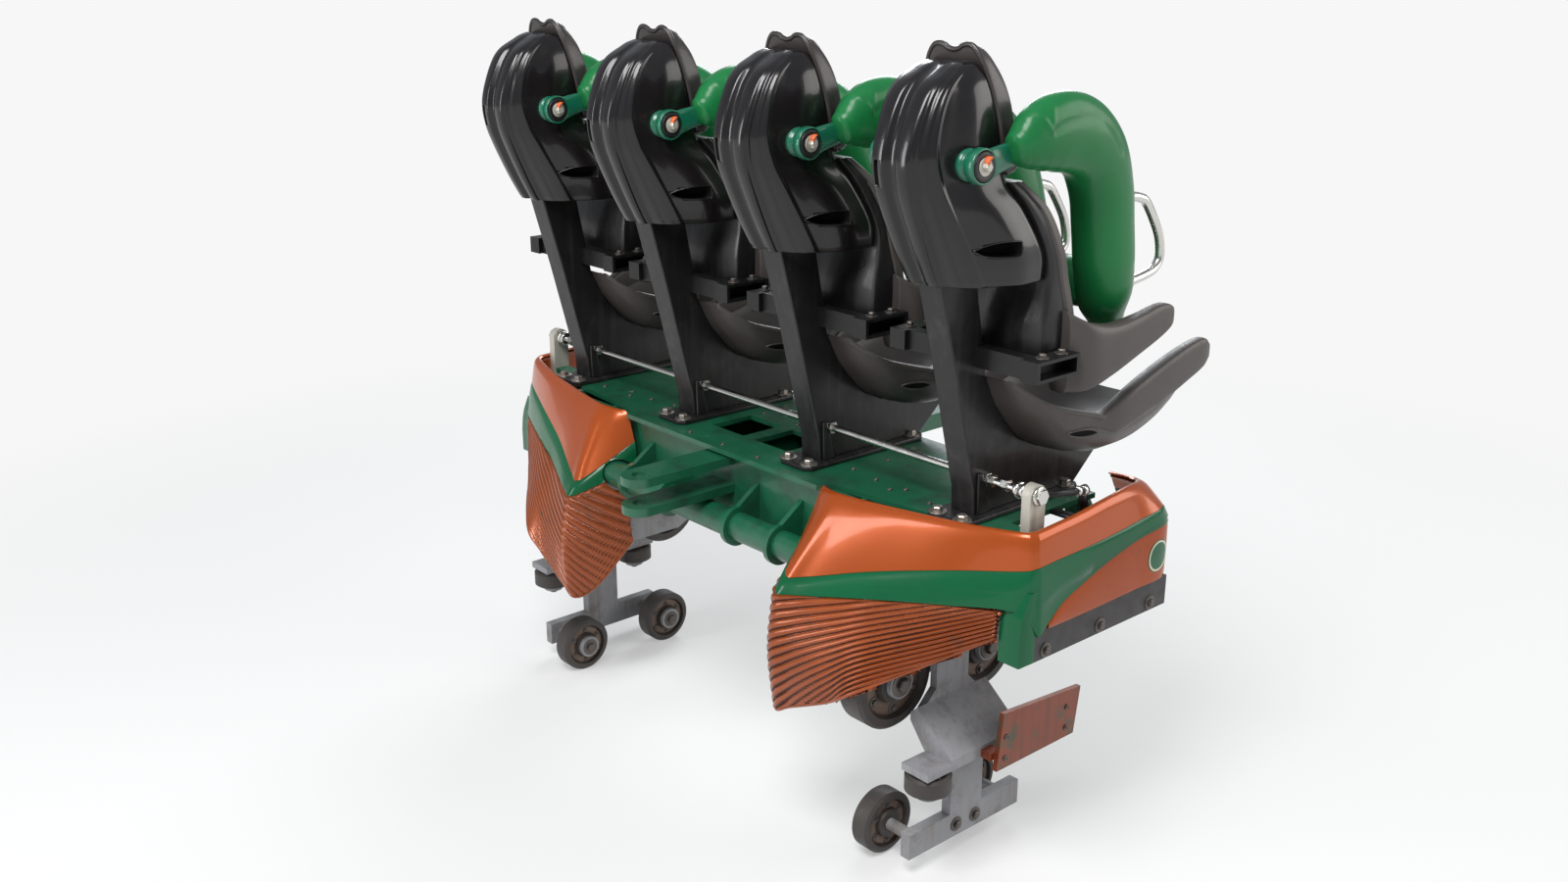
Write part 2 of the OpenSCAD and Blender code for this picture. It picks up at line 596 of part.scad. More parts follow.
// The green band under the cap; on the side it widens rearward down to its tab
module fairing_bands() color("#1f7a4a") both_sides() translate([post_x, 0, deck_z]) difference() {
    tab_h = 150;
    union() {
        skin([for (s = FAIRING) band_row(s)], skin_t);
        // Tab below the band on the rear face, and its return on the side
        translate([-34, -fairing_half_w + 2, tab_low]) {
            cube([skin_t, tab_w, tab_h]);
            cube([52, skin_t, tab_h]);
        }
    }
    // Hole round the cross tube
    translate([tube_x, -fairing_half_w + 600, tube_z]) rotate([90, 0, 0])
        cylinder(d = tube_d + 16, h = 200, center = true, $fn = 12);
}

// Ribbed rear panel stations, read like the fairing's: top, middle and bottom. The panel leans
// back round the rear road wheel.
PANEL = [
    [[-60, 700, -160], [-90, 696, -300], [-80, 690, -400]],
    [[-165, 668, -198], [-205, 664, -360], [-190, 662, -520]],
    [[-250, 626, -231], [-268, 624, -390], [-250, 622, -560]],
    [[-238, 566, -226], [-264, 562, -370], [-254, 560, -530]],
    [[-178, 430, -206], [-228, 430, -330], [-246, 430, -468]],
    [[-150, 345, -192], [-200, 345, -300], [-238, 345, -412]],
    [[-92, 190, -168], [-112, 190, -240], [-126, 190, -308]],
    [[-40, 68, -157], [-44, 68, -186], [-46, 68, -224]]];

// Height of a rib line, q ribs above the lowest one, at a point: the lines fan out and steepen
// from the tab down and inward
function rib_z(q, p) = let (f = q / (ribs - 1), dx = p[0] + 40, dy = p[1] + fairing_half_w - 68)
    -210 + 130 * f + (0.29 * f - 0.765) * dx + (0.487 * f - 0.968) * dy;

// The wedge between two rib lines, long enough to pass through the whole panel
module rib_wedge(q) loft([for (e = [-0.26, 0.26]) [for (c = [[-330, 0], [0, 0], [0, 720], [-330, 720]])
    let (p = [c[0], c[1] - fairing_half_w]) [p[0], p[1], rib_z(q + e, p)]]]);

module ribbed_panels() color("#96461f") both_sides() translate([post_x, 0, deck_z]) difference() {
    panel = [for (s = PANEL) [for (j = [0:2]) at_side(s[j]) - (j == 0 ? [0, 0, joint_gap] : [0, 0, 0])]];
    slot_r = tube_d / 2 + 8;
    union() {
        skin(panel, skin_t);
        intersection() {
            skin(panel, skin_t / 2, rib_depth);
            union() for (q = [0:ribs - 1]) rib_wedge(q);
        }
    }
    // Notch that the cross tube passes through, in the panel's inner return
    translate([-290, -fairing_half_w + 560, tube_z - slot_r]) cube([240, 180, 2 * slot_r]);
}

// Side panel below the band, from the tab to the front: x, distance inward, and the band's lower
// edge over it
SIDE = concat([[60, -4, -194]], [for (i = [8:14]) FAIRING[i][2]]);

// Its lower edge follows the rub bar
function side_low(x) = bar_low + bar_h + 9 - (x - 60) / 60;

module side_panels() color("#b4562c") both_sides() translate([post_x, 0, deck_z])
    skin([for (s = SIDE) let (top = s[2] - joint_gap, low = side_low(s[0]))
        [at_side([s[0], s[1] + 2, top]), at_side([s[0], s[1] - 1, (top + low) / 2]),
            at_side([s[0], s[1] + 2, low])]], skin_t);

// Rub bar under the side panel, on plates that hang from the deck's edge
module rub_bars() color("#3a3633") for (s = SIDES) scale([1, s, 1])
    translate([post_x + 22, bar_y - bar_t, deck_z + bar_low]) difference() {
        cube([bar_l, bar_t, bar_h]);
        for (x = [56, 266, 472]) translate([x, -1, 22]) rotate([-90, 0, 0])
            cylinder(r = 7, h = bar_t + 2, $fn = 24);
    }

module side_brackets() color("#1f6e46") both_sides() for (x = [70, 400])
    translate([post_x + x, 0, deck_z]) rotate([90, 0, 90]) linear_extrude(12) polygon([
        [70 - deck_half_w, -deck_t], [-deck_half_w, -deck_t], [-deck_half_w - 70, -120],
        [bar_t - bar_y, -210], [bar_t - bar_y, bar_low + 2], [bar_t - bar_y + 38, bar_low + 2],
        [bar_t - bar_y + 68, -190], [70 - deck_half_w, -60]]);

// Profile of half a wheel, as shares of its radius and its width: hub, dish, tread and shoulder
WHEEL = [[0.42, 0.5], [0.46, 0.3], [0.74, 0.3], [0.78, 0.46]];

// A wheel on the Y axis: tread with rounded shoulders, dished hub and a bore
module wheel(r, w) rotate([90, 0, 0]) rotate_extrude($fn = 64) {
    half = concat([[axle_r + bearing_gap, w * 0.5]], [for (p = WHEEL) [r * p[0], w * p[1]]],
        [[r - 8, w * 0.46], [r, w * 0.36]]);
    polygon(concat(half, [for (p = reversed(half)) [p[0], -p[1]]]));
}

function wheel_x(e) = carrier_mid + e * wheel_base / 2;

module road_wheel(e, s) color("#3b3a3a") translate([wheel_x(e), s * rail_y, axle_z]) wheel(road_r, road_w);
module upstop_wheel(e, s) color("#3b3a3a")
    translate([wheel_x(e), s * rail_y, upstop_z]) wheel(upstop_r, upstop_w);
module guide_wheel(e, s) color("#3b3a3a")
    translate([wheel_x(e), s * guide_y, rail_z]) rotate([90, 0, 0]) wheel(guide_r, guide_w);

module road_wheel_rr() road_wheel(-1, -1);
module road_wheel_fr() road_wheel(1, -1);
module road_wheel_rl() road_wheel(-1, 1);
module road_wheel_fl() road_wheel(1, 1);
module guide_wheel_rr() guide_wheel(-1, -1);
module guide_wheel_fr() guide_wheel(1, -1);
module guide_wheel_rl() guide_wheel(-1, 1);
module guide_wheel_fl() guide_wheel(1, 1);
module upstop_wheel_rr() upstop_wheel(-1, -1);
module upstop_wheel_fr() upstop_wheel(1, -1);
module upstop_wheel_rl() upstop_wheel(-1, 1);
module upstop_wheel_fl() upstop_wheel(1, 1);

// A stub axle along its own Z, with a retaining cap at its outer end
module stub(l, cap_r) {
    cylinder(r = axle_r, h = l, $fn = 48);
    translate([0, 0, l]) cylinder(r = cap_r, h = 14, $fn = 48);
}

// A plate of the carrier in the XZ plane, from y outward, with x from the carrier's middle
module carrier_plate(outline, y) translate([carrier_mid, y, 0]) rotate([90, 0, 0])
    linear_extrude(frame_t) polygon(outline);

// The right-hand carrier, drawn round its middle; the rail passes between its wheels
module carrier() {
    half = wheel_base / 2;
    inner_y = -rail_y + road_w / 2 + 2;
    outer_y = -rail_y - rail_r - 15;
    hanger_t = 30;
    guide_edge = -guide_y - 45;
    // Inner plate under the beam carries the road axles
    carrier_plate([[-half - 65, axle_z - 60], [-half - 25, axle_z - 80], [half + 25, axle_z - 80],
        [half + 65, axle_z - 60], [half + 65, axle_z + 70], [140, beam_z], [-140, beam_z],
        [-half - 65, axle_z + 70]], inner_y + frame_t);
    for (e = ENDS) translate([wheel_x(e), inner_y, axle_z]) rotate([90, 0, 0]) stub(road_w + 3, 40);
    // Outer plate hangs from the end of the beam, between the hubs
    carrier_plate([[-120, beam_z + beam_h], [120, beam_z + beam_h], [120, beam_z - 40], [60, axle_z + 40],
        [60, axle_z - 40], [130, axle_z - 110], [-130, axle_z - 110], [-60, axle_z - 40],
        [-60, axle_z + 40], [-120, beam_z - 40]], -beam_half_l);
    // Sloping plate out to the guide wheels
    translate([carrier_mid - 130, 0, 0]) rotate([90, 0, 90]) linear_extrude(260)
        polygon([[-beam_half_l, axle_z - 90], [-beam_half_l, axle_z - 112], [outer_y + 4, guide_top + 20],
            [guide_edge, guide_top + 20], [guide_edge, guide_top + 30],
            [-beam_half_l - frame_t, axle_z - 70]]);
    // Plate over the guide wheels, and their axles
    translate([carrier_mid - half - 50, guide_edge, guide_top])
        cube([wheel_base + 100, outer_y - guide_edge, 20]);
    for (e = ENDS) translate([wheel_x(e), -guide_y, guide_top + 1]) mirror([0, 0, 1]) stub(guide_w + 6, 30);
    // Arm down past the rail, and the bar that carries the upstop axles
    translate([carrier_mid - hanger_w / 2, outer_y - hanger_t, upstop_z - 30])
        cube([hanger_w, hanger_t, guide_top - upstop_z + 40]);
    translate([carrier_mid - half - 45, outer_y - hanger_t, upstop_z - 35])
        cube([wheel_base + 90, hanger_t, 70]);
    for (e = ENDS) translate([wheel_x(e), outer_y, upstop_z]) rotate([-90, 0, 0])
        stub(-outer_y - rail_y + upstop_w / 2 + 1, 34);
}

module carriers() color("#a9abb2") both_sides() carrier();

// Cover plate outside the guide wheels: x from the carrier's middle, z from the guide wheels' plate
COVER = [[-10, -28], [10, 129], [317, 104], [297, -28]];

module carrier_covers() color("#b4562c") both_sides() translate([carrier_mid, -guide_y - 76, guide_top]) {
    rotate([90, 0, 0]) linear_extrude(skin_t) polygon(COVER);
    // Foot on the edge of the plate over the guide wheels
    translate([-20, 0, 0]) cube([40, 31, 20]);
}

deck();
chassis_beam();
cross_tube();
drawbar();
rear_coupling();
seat_posts();
tie_rods();
link_bars();
seat_shells();
headrests();
seat_backs();
seat_pans();
seat_brackets();
harness_1();
harness_2();
harness_3();
harness_4();
arms_1();
arms_2();
arms_3();
arms_4();
handles_1();
handles_2();
handles_3();
handles_4();
fairing_caps();
fairing_bands();
ribbed_panels();
side_panels();
rub_bars();
side_brackets();
carriers();
carrier_covers();
road_wheel_rr();
road_wheel_fr();
road_wheel_rl();
road_wheel_fl();
guide_wheel_rr();
guide_wheel_fr();
guide_wheel_rl();
guide_wheel_fl();
upstop_wheel_rr();
upstop_wheel_fr();
upstop_wheel_rl();
upstop_wheel_fl();
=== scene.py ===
# Looks of one roller coaster car: four floorless seats on their deck, the fairings at both ends and
# the wheel carriers. Lengths are metres in the car's own frame: X forward, Y left, Z up, with the
# origin on the floor. Tables of shapes are in millimetres from the rear bolts of the seat posts and
# the deck's top, and are turned into metres where they are used.

import json
import math

import bmesh
import bpy
import numpy as np
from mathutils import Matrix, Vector
from mathutils.bvhtree import BVHTree


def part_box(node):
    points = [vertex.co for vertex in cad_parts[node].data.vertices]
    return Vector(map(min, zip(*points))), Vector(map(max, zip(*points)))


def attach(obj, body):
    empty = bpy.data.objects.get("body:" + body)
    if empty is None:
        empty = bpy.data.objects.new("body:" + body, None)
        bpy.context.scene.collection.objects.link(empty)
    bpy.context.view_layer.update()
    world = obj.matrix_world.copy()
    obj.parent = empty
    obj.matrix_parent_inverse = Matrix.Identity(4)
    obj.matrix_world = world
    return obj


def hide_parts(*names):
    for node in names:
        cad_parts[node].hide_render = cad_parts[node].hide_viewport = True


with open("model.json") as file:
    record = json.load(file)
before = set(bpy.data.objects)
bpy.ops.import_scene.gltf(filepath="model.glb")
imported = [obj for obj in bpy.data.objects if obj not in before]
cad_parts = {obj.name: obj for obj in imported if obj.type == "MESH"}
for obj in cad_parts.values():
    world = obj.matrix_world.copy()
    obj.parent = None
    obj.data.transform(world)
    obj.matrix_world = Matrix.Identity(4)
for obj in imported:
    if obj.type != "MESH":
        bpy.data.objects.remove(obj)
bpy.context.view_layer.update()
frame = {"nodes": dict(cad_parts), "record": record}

SCENE = bpy.context.scene
MM = 0.001
SIDES = (-1, 1)
UP = (0, 0, 1)

RECORD = frame["record"]
SLOT_OF = {row["node"]: row["material_slot"] for row in RECORD["subparts"]}
JOINTS = {row["name"]: row for row in RECORD["behaviour"]["joints"]}
PIVOTS = [Vector(JOINTS[f"restraint_{k}_swing"]["pos_m"]) for k in (1, 2, 3, 4)]

# Place of the harness pivots from the post bolts and the deck
PIVOT_X = -104
PIVOT_Z = 876
POST_X = PIVOTS[0].x - PIVOT_X * MM
DECK_Z = PIVOTS[0].z - PIVOT_Z * MM
SEAT_Y = [p.y for p in PIVOTS]
SEATS = list(enumerate(SEAT_Y, 1))
FAIRING_HALF_W = 1090
SKIN_T = 14


# Mesh helpers

def place(points, y=0.0):
    """Millimetres from the post bolts and the deck, as metres in the car's frame."""
    return np.asarray(points, dtype=float) * MM + np.array([POST_X, y, DECK_Z])


def spot(x, w, z, y=0.0):
    return Vector(place((x, w, z), y))


def to_table(points, y=0.0):
    """Metres in the car's frame, back to millimetres from the post bolts and the deck."""
    return (np.asarray(points) - np.array([POST_X, y, DECK_Z])) / MM


def smooth_step(t):
    t = np.clip(t, 0.0, 1.0)
    return t * t * (3 - 2 * t)


def circle(count):
    """Cosines and sines of count even steps round a circle."""
    angles = np.arange(count) * 2 * math.pi / count
    return np.cos(angles), np.sin(angles)


def squircle(count, power):
    """Both coordinates of a round outline of unit size, which is squarer for a higher power."""
    c, d = circle(count)
    size = (np.abs(c) ** power + np.abs(d) ** power) ** (-1 / power)
    return c * size, d * size


def curve_rows(rows, count):
    """A table of stations, smoothed through its rows to count stations (Catmull-Rom)."""
    rows = np.asarray(rows, dtype=float)
    padded = np.concatenate([[2 * rows[0] - rows[1]], rows, [2 * rows[-1] - rows[-2]]])
    out = []
    for s in np.linspace(0, len(rows) - 1, count):
        k = min(int(s), len(rows) - 2)
        t = s - k
        p0, p1, p2, p3 = padded[k:k + 4]
        out.append(0.5 * (2 * p1 + (p2 - p0) * t + (2 * p0 - 5 * p1 + 4 * p2 - p3) * t ** 2
                          + (3 * p1 - p0 - 3 * p2 + p3) * t ** 3))
    return np.array(out)


def linked(name, data):
    piece = bpy.data.objects.new(name, data)
    SCENE.collection.objects.link(piece)
    return piece


def new_part(verts, faces, material):
    mesh = bpy.data.meshes.new("part")
    mesh.from_pydata([tuple(v) for v in verts], [], faces)
    work = bmesh.new()
    work.from_mesh(mesh)
    bmesh.ops.remove_doubles(work, verts=work.verts, dist=1e-6)
    bmesh.ops.recalc_face_normals(work, faces=work.faces)
    work.to_mesh(mesh)
    work.free()
    mesh.shade_smooth()
    mesh.materials.append(MATERIALS[material])
    return linked("part", mesh)


def ring_faces(count, size, closed_ends=True):
    """Faces of a loft through count rings of size points each."""
    faces = []
    for i in range(count - 1):
        for j in range(size):
            a, b = i * size + j, i * size + (j + 1) % size
            faces.append((a, b, b + size, a + size))
    if closed_ends:
        faces.append(tuple(range(size)))
        faces.append(tuple((count - 1) * size + j for j in range(size)))
    return faces


def loft(rings, material, y=0.0):
    """A closed solid through rings of equal point count, in millimetres."""
    verts = place(np.concatenate(rings), y)
    return new_part(verts, ring_faces(len(rings), len(rings[0])), material)


def prism(outline, y0, y1, material, y=0.0):
    """A plate between two y's, in millimetres, whose outline is given in x and z."""
    return loft([[(x, w, z) for x, z in outline] for w in (y0, y1)], material, y)


def round_edges(piece, width, segments, angle):
    bevel = piece.modifiers.new("edges", "BEVEL")
    bevel.width = width
    bevel.segments = segments
    bevel.limit_method = "ANGLE"
    bevel.angle_limit = math.radians(angle)
    bevel.harden_normals = True


def sweep(path, radius, material, sides, y=0.0):
    """A round tube with closed ends along a path in millimetres, of one radius or one a point."""
    path = np.asarray(path, dtype=float)
    radii = np.broadcast_to(np.asarray(radius, dtype=float), (len(path),))
    tangents = np.gradient(path, axis=0)
    tangents /= np.linalg.norm(tangents, axis=1)[:, None]
    # A direction that no path runs along
    side = np.cross(tangents[0], [0.31, 0.87, 0.38])
    cos, sin = (part[:, None] for part in circle(sides))
    rings = []
    for p, t, r in zip(path, tangents, radii):
        side = side - t * np.dot(side, t)
        side /= np.linalg.norm(side)
        rings.append(p + r * (cos * side + sin * np.cross(t, side)))
    return loft(rings, material, y)


def join(parts):
    bpy.ops.object.select_all(action="DESELECT")
    for part in parts:
        part.select_set(True)
    bpy.context.view_layer.objects.active = parts[0]
    if len(parts) > 1:
        bpy.ops.object.join()
    return parts[0]


def cut(piece, cutters):
    """Takes the cutters' shapes out of a piece's mesh. The cut faces get the cutters' materials."""
    for cutter in cutters:
        hole = piece.modifiers.new("hole", "BOOLEAN")
        hole.operation = "DIFFERENCE"
        hole.solver = "EXACT"
        hole.material_mode = "TRANSFER"
        hole.object = cutter
    graph = bpy.context.evaluated_depsgraph_get()
    mesh = bpy.data.meshes.new_from_object(piece.evaluated_get(graph))
    piece.modifiers.clear()
    piece.data = mesh
    for cutter in cutters:
        bpy.data.objects.remove(cutter)


def turned(profile, material, at, axis, sides):
    """A turned part: pairs of radius and distance along its axis, in millimetres from at."""
    cos, sin = circle(sides)
    rings = [np.stack([r * cos, r * sin, np.full(sides, h)], axis=1) for r, h in profile]
    turn = Vector(UP).rotation_difference(Vector(axis)).to_matrix()
    verts = [Vector(at) + turn @ Vector(v) for v in np.concatenate(rings) * MM]
    return new_part(verts, ring_faces(len(rings), sides), material)


# A washer's profile: radius as a share of the bolt's size across, and height
WASHER = [(0.3, 0), (0.98, 0), (1, 0.4), (1, 2.2), (0.96, 2.6), (0.3, 2.6)]


def bolt(at, axis, across, height, material="bolt_dark"):
    """A hexagon head with a chamfered crown on a washer. at is the washer's seat, in metres."""
    head = across / math.sqrt(3)
    washer = turned([(across * r, h) for r, h in WASHER], material, at, axis, 28)
    crown = turned([(head * 0.5, 2.4), (head, 2.4), (head, height * 0.8 + 2),
                    (head * 0.8, height + 2.4), (head * 0.3, height + 2.5)], material, at, axis, 6)
    crown.data.shade_flat()
    return join([washer, crown])


def screw(at, axis, radius):
    """A low round screw head with a socket."""
    shares = [(0.9, 0.35), (0.62, 0.55), (0.5, 0.56), (0.48, 0.3), (0.1, 0.28)]
    profile = [(radius * 0.9, 0), (radius, 0.6)] + [(radius * r, radius * h) for r, h in shares]
    return turned(profile, "bolt_dark", at, axis, 20)


def surface(piece):
    """A tree for finding points on a piece's present surface."""
    mesh = piece.data
    return BVHTree.FromPolygons([v.co for v in mesh.vertices], [p.vertices for p in mesh.polygons])


def project(tree, points, direction, lift):
    """Points in metres, moved along a direction onto a surface. lift is off it, in millimetres."""
    hits = [tree.ray_cast(Vector(p), Vector(direction))[:2] for p in points]
    return [np.array(at + normal * lift * MM) for at, normal in hits if at is not None]


def paint(piece, material, test):
    """Gives a second material to the faces whose centres, in table millimetres, pass the test."""
    piece.data.materials.append(MATERIALS[material])
    marked = test(to_table([polygon.center for polygon in piece.data.polygons]))
    piece.data.polygons.foreach_set("material_index", marked.astype(np.int32))


def complete(name, parts, slot_name, *nodes, body="car", first=True, edges=None):
    """Makes one piece of its parts, rounds its edges (width, segments, least angle), and gives it
    its name and body. Of the pieces that stand for the same nodes, only the first one hides
    them. Its argument slot_name is not used."""
    piece = join(parts)
    piece.name = piece.data.name = name
    if edges:
        round_edges(piece, *edges)
    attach(piece, body)
    if nodes and first:
        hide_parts(*nodes)
    return piece


# Materials

MATERIALS = {}


def node_tree(name):
    material = bpy.data.materials.new(name)
    material.use_nodes = True
    tree = material.node_tree
    return material, tree, tree.nodes["Principled BSDF"]


def wire(tree, node, inputs):
    """Sets a node's inputs, each to a constant or to another node's output."""
    for key, value in inputs.items():
        if isinstance(value, bpy.types.NodeSocket):
            tree.links.new(value, node.inputs[key])
        else:
            node.inputs[key].default_value = value


def add(tree, kind, inputs):
    node = tree.nodes.new("ShaderNode" + kind)
    wire(tree, node, inputs)
    return node


def noise(tree, scale, detail=4.0, rough=0.55, stretch=None):
    coords = add(tree, "TexCoord", {}).outputs["Object"]
    if stretch:
        coords = add(tree, "Mapping", {"Vector": coords, "Scale": stretch}).outputs["Vector"]
    return add(tree, "TexNoise", {"Vector": coords, "Scale": scale, "Detail": detail,
                                  "Roughness": rough}).outputs["Fac"]


def ramp(tree, value, low, high, at=(0.3, 0.7)):
    node = add(tree, "ValToRGB", {"Fac": value})
    for element, position, color in zip(node.color_ramp.elements, at, (low, high)):
        element.position = position
        element.color = color
    return node.outputs["Color"]


def grey(v):
    return (v, v, v, 1.0)


def tint(color, factor):
    return tuple(min(1.0, c * factor) for c in color) + (1.0,)


# The mixing node's sockets for colors
MIX_A, MIX_B, MIX_OUT = 6, 7, 2


def mix(tree, fac, a, b):
    node = tree.nodes.new("ShaderNodeMix")
    node.data_type = "RGBA"
    wire(tree, node, {"Factor": fac, MIX_A: a, MIX_B: b})
    return node.outputs[MIX_OUT]


# Noise (scale, detail, roughness, stretch) and how much of the layer it lets through at most
RUNS = (5.0, 5.0, 0.6, (9, 9, 0.6)), 0.75
PATCHES = (9.0, 8.0, 0.68), 1
SCRATCHES = (6.0, 9.0, 0.8, (1.2, 1.2, 14)), 0.8


def finish(name, color, rough, grain, metallic=0.0, coat=0.0, coat_rough=0.1, variation=0.12,
           dirt=None, dirt_amount=(0.58, 0.78), large=2.5, scratch=None, streak=None, specular=0.5):
    """A painted or moulded surface: large mottling, a range of roughness, fine grain (scale,
    strength) in the bump, and over it run marks, dirt in patches and fine scratches, each in its
    own color."""
    material, tree, shader = node_tree(name)
    base = ramp(tree, noise(tree, large), tint(color, 1 - variation), tint(color, 1 + variation),
                (0.35, 0.65))
    for layer, (pattern, most), at in ((streak, RUNS, (0.52, 0.74)), (dirt, PATCHES, dirt_amount),
                                       (scratch, SCRATCHES, (0.655, 0.68))):
        if layer:
            mask = ramp(tree, noise(tree, *pattern), grey(0), grey(most), at)
            base = mix(tree, mask, base, layer + (1.0,))
    scale, strength = grain
    bump = add(tree, "Bump", {"Strength": strength, "Distance": 0.001,
                              "Height": noise(tree, scale, 3.0)})
    wire(tree, shader, {
        "Base Color": base, "Metallic": metallic, "Specular IOR Level": specular,
        "Roughness": ramp(tree, noise(tree, 24.0, 6.0, 0.6), grey(rough[0]), grey(rough[1])),
        "Coat Weight": coat, "Coat Roughness": coat_rough, "Normal": bump.outputs["Normal"]})
    MATERIALS[name] = material


BROWN_DIRT = (0.05, 0.035, 0.025)
finish("chassis_green", (0.007, 0.1, 0.047), (0.28, 0.5), (160, 0.12), coat=0.3,
       dirt=(0.014, 0.035, 0.024), dirt_amount=(0.5, 0.75), scratch=(0.03, 0.19, 0.11))
finish("post_black", (0.011, 0.010, 0.0105), (0.26, 0.44), (420, 0.08), coat=0.12, specular=0.35,
       dirt=(0.04, 0.036, 0.032), streak=(0.03, 0.028, 0.027))
finish("bright_steel", (0.62, 0.61, 0.58), (0.16, 0.3), (500, 0.03), metallic=1.0, variation=0.06)
finish("link_steel", (0.5, 0.48, 0.42), (0.38, 0.6), (300, 0.12), metallic=0.4,
       dirt=(0.14, 0.12, 0.09), streak=(0.2, 0.15, 0.1))
finish("shell_black", (0.0075, 0.0062, 0.0068), (0.2, 0.28), (120, 0.012), coat=0.35,
       coat_rough=0.07, specular=0.35, variation=0.2, large=4.0)
finish("headrest_dark", (0.036, 0.03, 0.029), (0.26, 0.36), (1400, 0.1), coat=0.12, specular=0.4)
finish("seat_grey", (0.062, 0.053, 0.049), (0.34, 0.48), (1600, 0.16), variation=0.08,
       scratch=(0.12, 0.105, 0.095))
finish("bracket_black", (0.007, 0.007, 0.0075), (0.32, 0.5), (400, 0.08), specular=0.35,
       dirt=(0.035, 0.032, 0.03))
finish("harness_green", (0.01, 0.15, 0.042), (0.27, 0.38), (700, 0.06), coat=0.08, specular=0.25,
       variation=0.1, scratch=(0.03, 0.23, 0.09))
finish("arm_green", (0.006, 0.12, 0.065), (0.22, 0.36), (260, 0.1), coat=0.4,
       dirt=(0.01, 0.05, 0.035))
finish("cap_copper", (0.4, 0.07, 0.008), (0.22, 0.25), (90, 0.01), metallic=0.3, coat=0.4,
       coat_rough=0.06, specular=0.3, variation=0.08, large=1.6)
finish("band_green", (0.003, 0.095, 0.035), (0.22, 0.25), (90, 0.01), coat=0.25, coat_rough=0.06,
       specular=0.2)
finish("rib_copper", (0.29, 0.06, 0.011), (0.26, 0.4), (200, 0.04), metallic=0.35, coat=0.5,
       specular=0.3, variation=0.16, dirt=BROWN_DIRT)
finish("side_copper", (0.34, 0.058, 0.008), (0.26, 0.36), (150, 0.03), metallic=0.3, coat=0.12,
       specular=0.2, variation=0.1, dirt=(0.15, 0.04, 0.015), scratch=(0.12, 0.05, 0.03))
finish("bar_steel", (0.05, 0.046, 0.046), (0.4, 0.65), (260, 0.2), metallic=0.3,
       dirt=(0.02, 0.06, 0.035), scratch=(0.14, 0.13, 0.12))
finish("carrier_grey", (0.27, 0.27, 0.285), (0.45, 0.65), (220, 0.2), dirt=(0.12, 0.1, 0.085),
       dirt_amount=(0.5, 0.76), streak=(0.2, 0.17, 0.14))
finish("wheel_tread", (0.045, 0.038, 0.034), (0.45, 0.65), (500, 0.2), dirt=(0.09, 0.07, 0.05))
# Finishes of details, which aren't slots of their own
finish("cover_copper", (0.2, 0.035, 0.008), (0.3, 0.42), (150, 0.04), metallic=0.3, coat=0.2,
       dirt=(0.012, 0.06, 0.03), dirt_amount=(0.56, 0.7), streak=(0.07, 0.02, 0.01))
finish("bolt_steel", (0.36, 0.33, 0.3), (0.3, 0.45), (300, 0.08), metallic=0.9, dirt=BROWN_DIRT)
# Near-black and matte: the pans' dark inlays, and the walls cut into the shells, where it is
# painted shade in the slots over the shell's own black
finish("dark_inlay_and_recess_shade", (0.004, 0.004, 0.004), (0.6, 0.7), (400, 0.05), specular=0.1)
# Painted shade: a much darker copper for the faces deep between the ribs, where shade falls
finish("rib_groove_painted_shade", (0.07, 0.017, 0.006), (0.45, 0.6), (200, 0.04), metallic=0.2, dirt=BROWN_DIRT)
finish("pale_ring", (0.62, 0.6, 0.45), (0.35, 0.45), (300, 0.02))
finish("washer_black", (0.008, 0.008, 0.009), (0.35, 0.5), (400, 0.06))
finish("mark_orange", (0.75, 0.13, 0.03), (0.5, 0.6), (300, 0.1))
finish("hub_brown", (0.16, 0.11, 0.085), (0.4, 0.6), (260, 0.2), metallic=0.5, dirt=BROWN_DIRT)
finish("bolt_dark", (0.12, 0.105, 0.095), (0.35, 0.55), (300, 0.1), metallic=0.7, dirt=BROWN_DIRT)

# Seat shells: height, rear x, front x, half width at the rear ridges, half width at the front
SHELL = [
    [600, -126, 118, 46, 158], [673, -165, 100, 50, 168], [767, -208, 52, 54, 150],
    [831, -230, 12, 56, 124], [900, -234, -2, 58, 117], [987, -204, -20, 60, 112],
    [1040, -168, -31, 58, 100], [1075, -108, -38, 48, 79]]
SHELL_CROWN = [1087, -76, -44, 36, 62]
SHELL_LOW, SHELL_HIGH = 600, 1085
# Terraces beside the ridges: how far each step lies from the ridge's edge, at the shell's bottom
# and at its top
TERRACES = [(15, 9), (52, 24), (104, 40)]
TERRACE_H = 4.0
TERRACE_W = 8.0
# The groove between the ridges: share of their half width, depth, and how far it rises at the crown
GROOVE = 0.24
GROOVE_DEPTH, GROOVE_RISE = 15, 9
# The slot in the shell's side, and the upright one in its left ridge, in x and z
SLOT = [(-92, 688), (-70, 677), (-40, 671), (12, 670), (18, 675), (20, 699), (14, 705), (-30, 706),
        (-66, 699)]
SLIT = [(-270, 828), (-204, 828), (-204, 884), (-270, 884)]
SLIT_Y = (33, 45)
# Collar round the hinge
STUB = [(28, 100), (34, 100), (36, 112), (33, 116), (30.5, 118), (30, 120.6), (27, 121), (8, 121)]


def terrace(s, share):
    """Relief of the flank at distances s from the ridge's edge: three soft steps, level again past
    them."""
    at = [low + (high - low) * smooth_step(share * 1.1) for low, high in TERRACES]
    rise = len(at) * TERRACE_H * smooth_step(s / (at[-1] + 6))
    return rise - sum(TERRACE_H * smooth_step((s - a) / TERRACE_W) for a in at)


